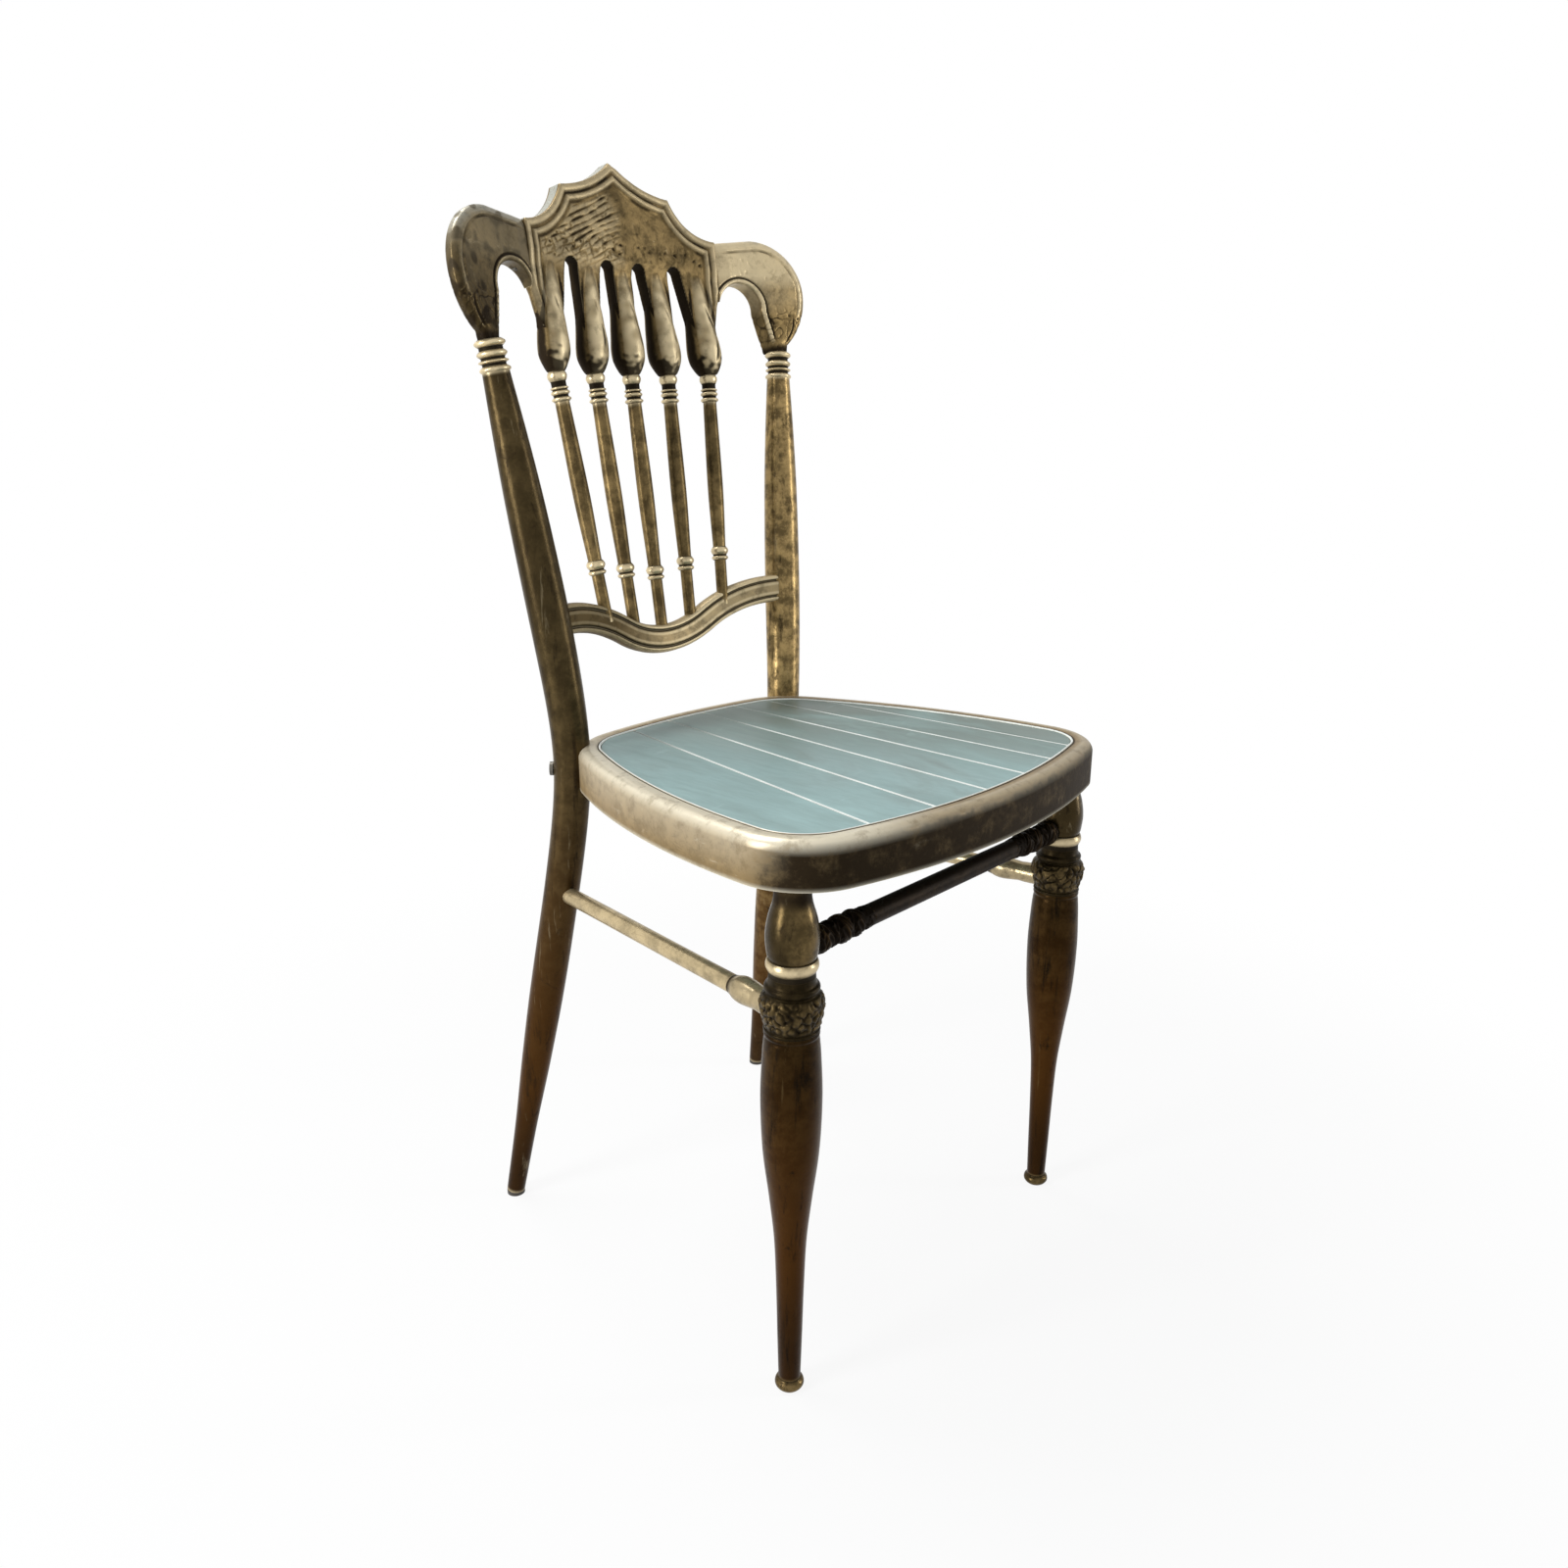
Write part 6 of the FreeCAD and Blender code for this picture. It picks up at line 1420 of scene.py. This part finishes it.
def leaf_relief(shape):
    """Rows of curled leaves around a knot, as a function of angle and height."""
    tall = shape.leaf / MM
    step = math.pi / shape.leaves

    def relief(angle, height):
        """Millimetres that the carving stands out or is sunk."""
        turn, rise = np.broadcast_arrays(angle, height)
        around = np.stack([LEAF_RADIUS * np.cos(turn), LEAF_RADIUS * np.sin(turn), rise], axis=-1).reshape(-1, 3)
        curls = (1.0 - clamp(np.abs(dents(around, 6.5, 31)) * 4.0)).reshape(turn.shape)
        crumbs = dents(around, 2.6, 33).reshape(turn.shape)
        sway = dents(around, 11.0, 35).reshape(turn.shape)
        out = np.zeros(turn.shape)
        for row, (middle, reach, share) in enumerate(LEAF_ROWS):
            across = ((turn + (row % 2) * step + sway * 0.5 + step) % (2 * step) - step) / step
            up = (rise - middle + sway * 5.0) / reach
            dome = np.sqrt(clamp(1.0 - across ** 2 * 0.8 - up ** 2))
            out = np.maximum(out, dome * share)
        belt = clamp((height - LEAF_BELT[0]) / 3.0) * clamp((LEAF_BELT[1] - height) / 3.0)
        return (out * 0.75 - curls * 0.55 + crumbs * 0.40 - 0.22) * tall * belt

    return relief


class CHAIR_OT_front_legs(bpy.types.Operator):
    """Build the turned front legs: crown, ring, carved knot, shaft and ball foot"""

    bl_idname = "chair.front_legs"
    bl_label = "Front legs"

    def execute(self, context):
        relief = leaf_relief(context.scene.chair_shape)
        self.turn("leg_crown", curve_through(LEG_CROWN, 9), "crown", "cast_bronze_paint", dark=(13.0, 16.0))
        # The ring's crown is painted bright all round, a painted highlight.
        self.turn("leg_ring", curve_through(LEG_RING, 7), "ring", "bead_gilt", dark=(17.3, 18.3), light=1.0)
        self.turn("leg_knot", curve_through(LEG_KNOT, 9), "knot", "cast_bronze_paint", relief=relief, around=240)
        self.turn("leg_shaft", curve_through(LEG_SHAFT, 12), "leg", "tube_bronze_paint")
        self.turn("leg_foot", curve_through(LEG_FOOT, 5), "crown", "bead_gilt", dark=(7.0, 11.2))
        return {"FINISHED"}

    def turn(self, name, rows, paint, slot, relief=None, around=64, dark=None, light=0.0):
        """One turned part of both legs; dark gives the radii between which its hollows clear."""
        points, faces = turned(rows, around, relief)
        plain = np.repeat(rows[:, 1], around)
        hollow = rubbed = np.zeros(len(points))
        if relief is not None:
            rise = np.hypot(points[:, 0], points[:, 1]) - plain
            hollow = clamp(-rise / 1.3)
            rubbed = np.clip(rise / 1.2, 0.0, 0.85)
        elif dark is not None:
            hollow = clamp(1.0 - (plain - dark[0]) / (dark[1] - dark[0])) * 0.8
            rubbed = clamp(plain - dark[1]) * light
        add_pair(name, points + (*LEG, 0.0), faces, paint, slot, marks={"hollow": hollow, "rubbed": rubbed})


# Stretchers

SIDE_HEIGHT = 320.0
SIDE_RADIUS = 7.3
# (distance from the leg's middle, radius) along the ferrule.
FERRULE = ((13.0, 9.4), (30.0, 9.4), (36.0, 9.0), (40.0, 9.4), (51.0, 10.4), (58.0, 9.9), (63.0, 8.4), (66.6, 7.5))
FRONT_HEIGHT = 370.5
FRONT_RADIUS = 8.3
KNUCKLE_START = 19.0
KNUCKLE_LENGTH = 66.0


def knuckle_rows():
    """(distance from the leg's middle, radius) along the front stretcher's knuckle."""
    rows = [(KNUCKLE_START - 1.5, 9.6)]
    for low, high, edge, crown in ((0.0, 0.24, 9.6, 11.2), (0.26, 0.36, 9.3, 10.5), (0.38, 0.60, 9.3, 11.2),
                                   (0.62, 0.80, 9.3, 10.8)):
        rows += bead(KNUCKLE_START + KNUCKLE_LENGTH * low, KNUCKLE_START + KNUCKLE_LENGTH * high, edge, crown)
    rows += [(KNUCKLE_START + KNUCKLE_LENGTH * 0.9, 9.2), (KNUCKLE_START + KNUCKLE_LENGTH, 8.6)]
    return curve_through(rows, 4)


def lumps(angle, along):
    """Hollows between the knuckle's lumps."""
    wave = np.sin(angle * 4.0 + np.sin(along * 0.37) * 2.4) * np.sin(along * 0.55 + angle * 2.0)
    return -np.abs(wave) * 1.3


class CHAIR_OT_stretchers(bpy.types.Operator):
    """Build the side stretchers with their ferrules and the knuckled front stretcher"""

    bl_idname = "chair.stretchers"
    bl_label = "Stretchers"

    def execute(self, context):
        self.sides()
        self.front()
        self.knuckles()
        return {"FINISHED"}

    def sides(self):
        """Side tubes from the leg knots to the posts, and the ferrules on them."""
        start = np.array([*LEG, SIDE_HEIGHT])
        way = post_point(SIDE_HEIGHT) - start
        long = np.linalg.norm(way)
        rows = curve_through([(15.0, SIDE_RADIUS), (long / 2, SIDE_RADIUS), (long - 9.6, SIDE_RADIUS)], 20)
        points, faces = turned(rows, 44)
        add_pair("side_stretcher", aimed(points, start, way), faces, "bar", "tube_bronze_paint")
        around = 48
        rows = curve_through(FERRULE, 7)
        points, faces = turned(rows, around)
        swell = np.repeat(clamp((rows[:, 1] - 8.0) / (9.2 - 8.0)), around)
        add_pair("side_ferrule", aimed(points, start, way), faces, "crown", "cast_bronze_paint",
                 marks={"hollow": (1.0 - swell) * 0.6, "rubbed": swell * 0.5})

    def front(self):
        """The dark tube between the front legs, with painted shade darkest on top."""
        half = LEG[0] - 18.0
        rows = curve_through([(-half, FRONT_RADIUS), (0.0, FRONT_RADIUS), (half, FRONT_RADIUS)], 30)
        points, faces = turned(rows, 48)
        # Painted shade, darkest on top of the tube.
        hollow = clamp(points[:, 0] / FRONT_RADIUS * -0.9) * 0.7
        tube = aimed(points, (0.0, LEG[1], FRONT_HEIGHT), (1.0, 0.0, 0.0))
        add_piece("front_stretcher_dressed", tube, faces, "dark", "dark_bronze_paint", "front_stretcher",
                  marks={"hollow": hollow, "rubbed": np.zeros(len(points))})

    def knuckles(self):
        """The lumpy sleeves at both ends of the front tube."""
        points, faces = turned(knuckle_rows(), 72, lumps)
        spread = np.hypot(points[:, 0], points[:, 1])
        marks = {"hollow": clamp((10.6 - spread) / 1.6), "rubbed": np.clip((spread - 10.5) / 0.9, 0.0, 0.7)}
        place = aimed(points, (*LEG, FRONT_HEIGHT), (-1.0, 0.0, 0.0))
        add_pair("stretcher_knuckle", place, faces, "dark", "dark_bronze_paint", marks=marks)


# What stays as it is in the frame

KEPT = {
    "under": ("seat_bar_front", "seat_bar_rear", "post_saddle_left", "post_saddle_right", "leg_bracket_left",
              "leg_bracket_right"),
    "zinc": ("slat_screws", "bracket_screws", "seat_bolts", "seat_nuts", "rail_pins", "crest_dowels", "arch_studs",
             "leg_rods"),
    "glide": ("post_glide_left", "post_glide_right"),
}


class CHAIR_OT_fittings(bpy.types.Operator):
    """Paint the bars, brackets, screws, pins and glides that stay as the frame has them"""

    bl_idname = "chair.fittings"
    bl_label = "Fittings"

    def execute(self, context):
        for paint, names in KEPT.items():
            for name in names:
                kept = NODES[name].data
                kept.materials.clear()
                kept.materials.append(FINISHES[paint])
        return {"FINISHED"}


# Stage

# The camera's place in metres, and its turn: fitted so that the chair stands in the frame as it should.
CAMERA_PLACE = (-0.7936, -0.7050, 0.7369)
CAMERA_YAW = math.radians(48.252)
CAMERA_PITCH = math.radians(-16.782)
CAMERA_ROLL = math.radians(0.2725)
# Lamps: the setting that holds the strength, place, target, and width and height, in metres.
LAMPS = (
    ("Key", "key", (-2.5, 0.65, 1.2), (0.0, 0.0, 0.8), (0.75, 2.3)),
    ("Fill", "fill", (2.0, -2.1, 1.0), (0.0, 0.0, 0.8), (0.45, 1.9)),
    ("Top", "top", (-0.2, 1.1, 2.6), (0.0, 0.0, 0.4), (1.5, 0.9)),
)
FLOOR_RADIUS = 9.0
# Distances from the chair between which the floor turns into the white background.
FLOOR_FADE = (0.45, 1.05)
SKY = (0.94, 0.97, 1.0)
SKY_STRENGTH = 0.26


def camera_turn():
    """Rotation of the camera as a matrix."""
    ahead = Vector((
        math.sin(CAMERA_YAW) * math.cos(CAMERA_PITCH),
        math.cos(CAMERA_YAW) * math.cos(CAMERA_PITCH),
        math.sin(CAMERA_PITCH),
    ))
    right = Vector((math.cos(CAMERA_YAW), -math.sin(CAMERA_YAW), 0.0))
    above = right.cross(ahead)
    across = right * math.cos(CAMERA_ROLL) + above * math.sin(CAMERA_ROLL)
    upward = above * math.cos(CAMERA_ROLL) - right * math.sin(CAMERA_ROLL)
    return Matrix((across, upward, -ahead)).transposed()


def area_light(name, place, target, size, strength):
    """Soft rectangular lamp aimed at a point."""
    lamp = bpy.data.lights.new(name, "AREA")
    lamp.shape = "RECTANGLE"
    lamp.size, lamp.size_y = size
    lamp.energy = strength
    stand = bpy.data.objects.new(name, lamp)
    stand.location = place
    stand.rotation_euler = (Vector(target) - Vector(place)).to_track_quat("-Z", "Y").to_euler()
    bpy.context.scene.collection.objects.link(stand)


class CHAIR_OT_stage(bpy.types.Operator):
    """Set the floor, the soft lights, the plain background and the camera"""

    bl_idname = "chair.stage"
    bl_label = "Stage"

    def execute(self, context):
        scene, look = context.scene, context.scene.chair_stage
        scene.view_settings.view_transform = "Standard"
        self.floor()
        self.world(scene)
        for name, setting, place, target, size in LAMPS:
            area_light(name, place, target, size, getattr(look, setting))
        self.camera(scene, look.lens)
        return {"FINISHED"}

    def camera(self, scene, lens):
        """The camera that the scene is seen through."""
        camera = bpy.data.cameras.new("Camera")
        camera.lens = lens
        camera.sensor_fit = "HORIZONTAL"
        camera.sensor_width = 36.0
        camera.clip_start = 0.01
        stand = bpy.data.objects.new("Camera", camera)
        stand.matrix_world = Matrix.Translation(CAMERA_PLACE) @ camera_turn().to_4x4()
        scene.collection.objects.link(stand)
        scene.camera = stand

    def floor(self):
        """Pale floor that keeps the chair's shadow and fades to white."""
        build = bmesh.new()
        bmesh.ops.create_circle(build, cap_ends=True, segments=96, radius=FLOOR_RADIUS)
        mesh = bpy.data.meshes.new("Floor")
        build.to_mesh(mesh)
        build.free()
        ground = bpy.data.objects.new("Floor", mesh)
        bpy.context.scene.collection.objects.link(ground)
        paint = Paint("Floor")
        rays = paint.node("ShaderNodeLightPath").outputs
        seen = paint.maths("MAXIMUM", rays["Is Camera Ray"], rays["Is Glossy Ray"])
        matt = paint.node("ShaderNodeBsdfDiffuse")
        grain = paint.noise(3.0, 2.0, 0.5)
        paint.put(matt.inputs["Color"], paint.mix(grain, (0.80, 0.80, 0.80), (0.82, 0.82, 0.82)))
        white = paint.node("ShaderNodeEmission")
        paint.put(white.inputs["Color"], WHITE)
        white.inputs["Strength"].default_value = 1.0
        far = paint.node("ShaderNodeVectorMath", operation="LENGTH")
        paint.link(paint.spot(), far.inputs[0])
        faded = paint.span(far.outputs["Value"], *FLOOR_FADE, 0.90, 1.0)
        paint.show(paint.maths("MULTIPLY", seen, faded), matt.outputs["BSDF"], white.outputs["Emission"])
        ground.data.materials.append(paint.material)

    def world(self, scene):
        """Soft sky that lights the chair, white where it is seen."""
        scene.world = bpy.data.worlds.new("Studio")
        sky = Wiring(scene.world, "ShaderNodeOutputWorld")
        rays = sky.node("ShaderNodeLightPath").outputs
        clear = sky.maths("MAXIMUM", rays["Is Glossy Ray"], rays["Is Transmission Ray"])
        soft, plain = sky.node("ShaderNodeBackground"), sky.node("ShaderNodeBackground")
        sky.put(soft.inputs["Color"], SKY)
        soft.inputs["Strength"].default_value = SKY_STRENGTH
        sky.put(plain.inputs["Color"], WHITE)
        plain.inputs["Strength"].default_value = 1.0
        seen = sky.maths("MAXIMUM", rays["Is Camera Ray"], clear)
        sky.show(seen, soft.outputs["Background"], plain.outputs["Background"])


class CHAIR_PT_panel(bpy.types.Panel):
    """Everything that dresses the chair"""

    bl_label = "Bistro Chair"
    bl_idname = "CHAIR_PT_panel"
    bl_space_type = "VIEW_3D"
    bl_region_type = "UI"
    bl_category = "Chair"

    def draw(self, context):
        layout = self.layout
        for group in (context.scene.chair_finish, context.scene.chair_shape, context.scene.chair_stage):
            box = layout.box()
            for name in group.bl_rna.properties.keys():
                if name not in ("rna_type", "name"):
                    box.prop(group, name)
        for piece in PIECES:
            layout.operator(piece.bl_idname)


PIECES = (
    CHAIR_OT_stage,
    CHAIR_OT_crest,
    CHAIR_OT_arches,
    CHAIR_OT_rail,
    CHAIR_OT_posts,
    CHAIR_OT_spindles,
    CHAIR_OT_seat_rim,
    CHAIR_OT_slats,
    CHAIR_OT_front_legs,
    CHAIR_OT_stretchers,
    CHAIR_OT_fittings,
)
GROUPS = (ChairFinish, ChairShape, StageLook)
FINISHES = {}


def register():
    for group in GROUPS:
        bpy.utils.register_class(group)
    for piece in PIECES:
        bpy.utils.register_class(piece)
    bpy.utils.register_class(CHAIR_PT_panel)
    bpy.types.Scene.chair_finish = PointerProperty(type=ChairFinish)
    bpy.types.Scene.chair_shape = PointerProperty(type=ChairShape)
    bpy.types.Scene.chair_stage = PointerProperty(type=StageLook)


def unregister():
    del bpy.types.Scene.chair_stage
    del bpy.types.Scene.chair_shape
    del bpy.types.Scene.chair_finish
    bpy.utils.unregister_class(CHAIR_PT_panel)
    for piece in reversed(PIECES):
        bpy.utils.unregister_class(piece)
    for group in reversed(GROUPS):
        bpy.utils.unregister_class(group)


def main():
    register()
    FINISHES.update(make_finishes(bpy.context.scene.chair_finish))
    bpy.ops.chair.stage()
    bpy.ops.chair.crest()
    bpy.ops.chair.arches()
    bpy.ops.chair.rail()
    bpy.ops.chair.posts()
    bpy.ops.chair.spindles()
    bpy.ops.chair.seat_rim()
    bpy.ops.chair.slats()
    bpy.ops.chair.front_legs()
    bpy.ops.chair.stretchers()
    bpy.ops.chair.fittings()


if __name__ == "__main__":
    main()
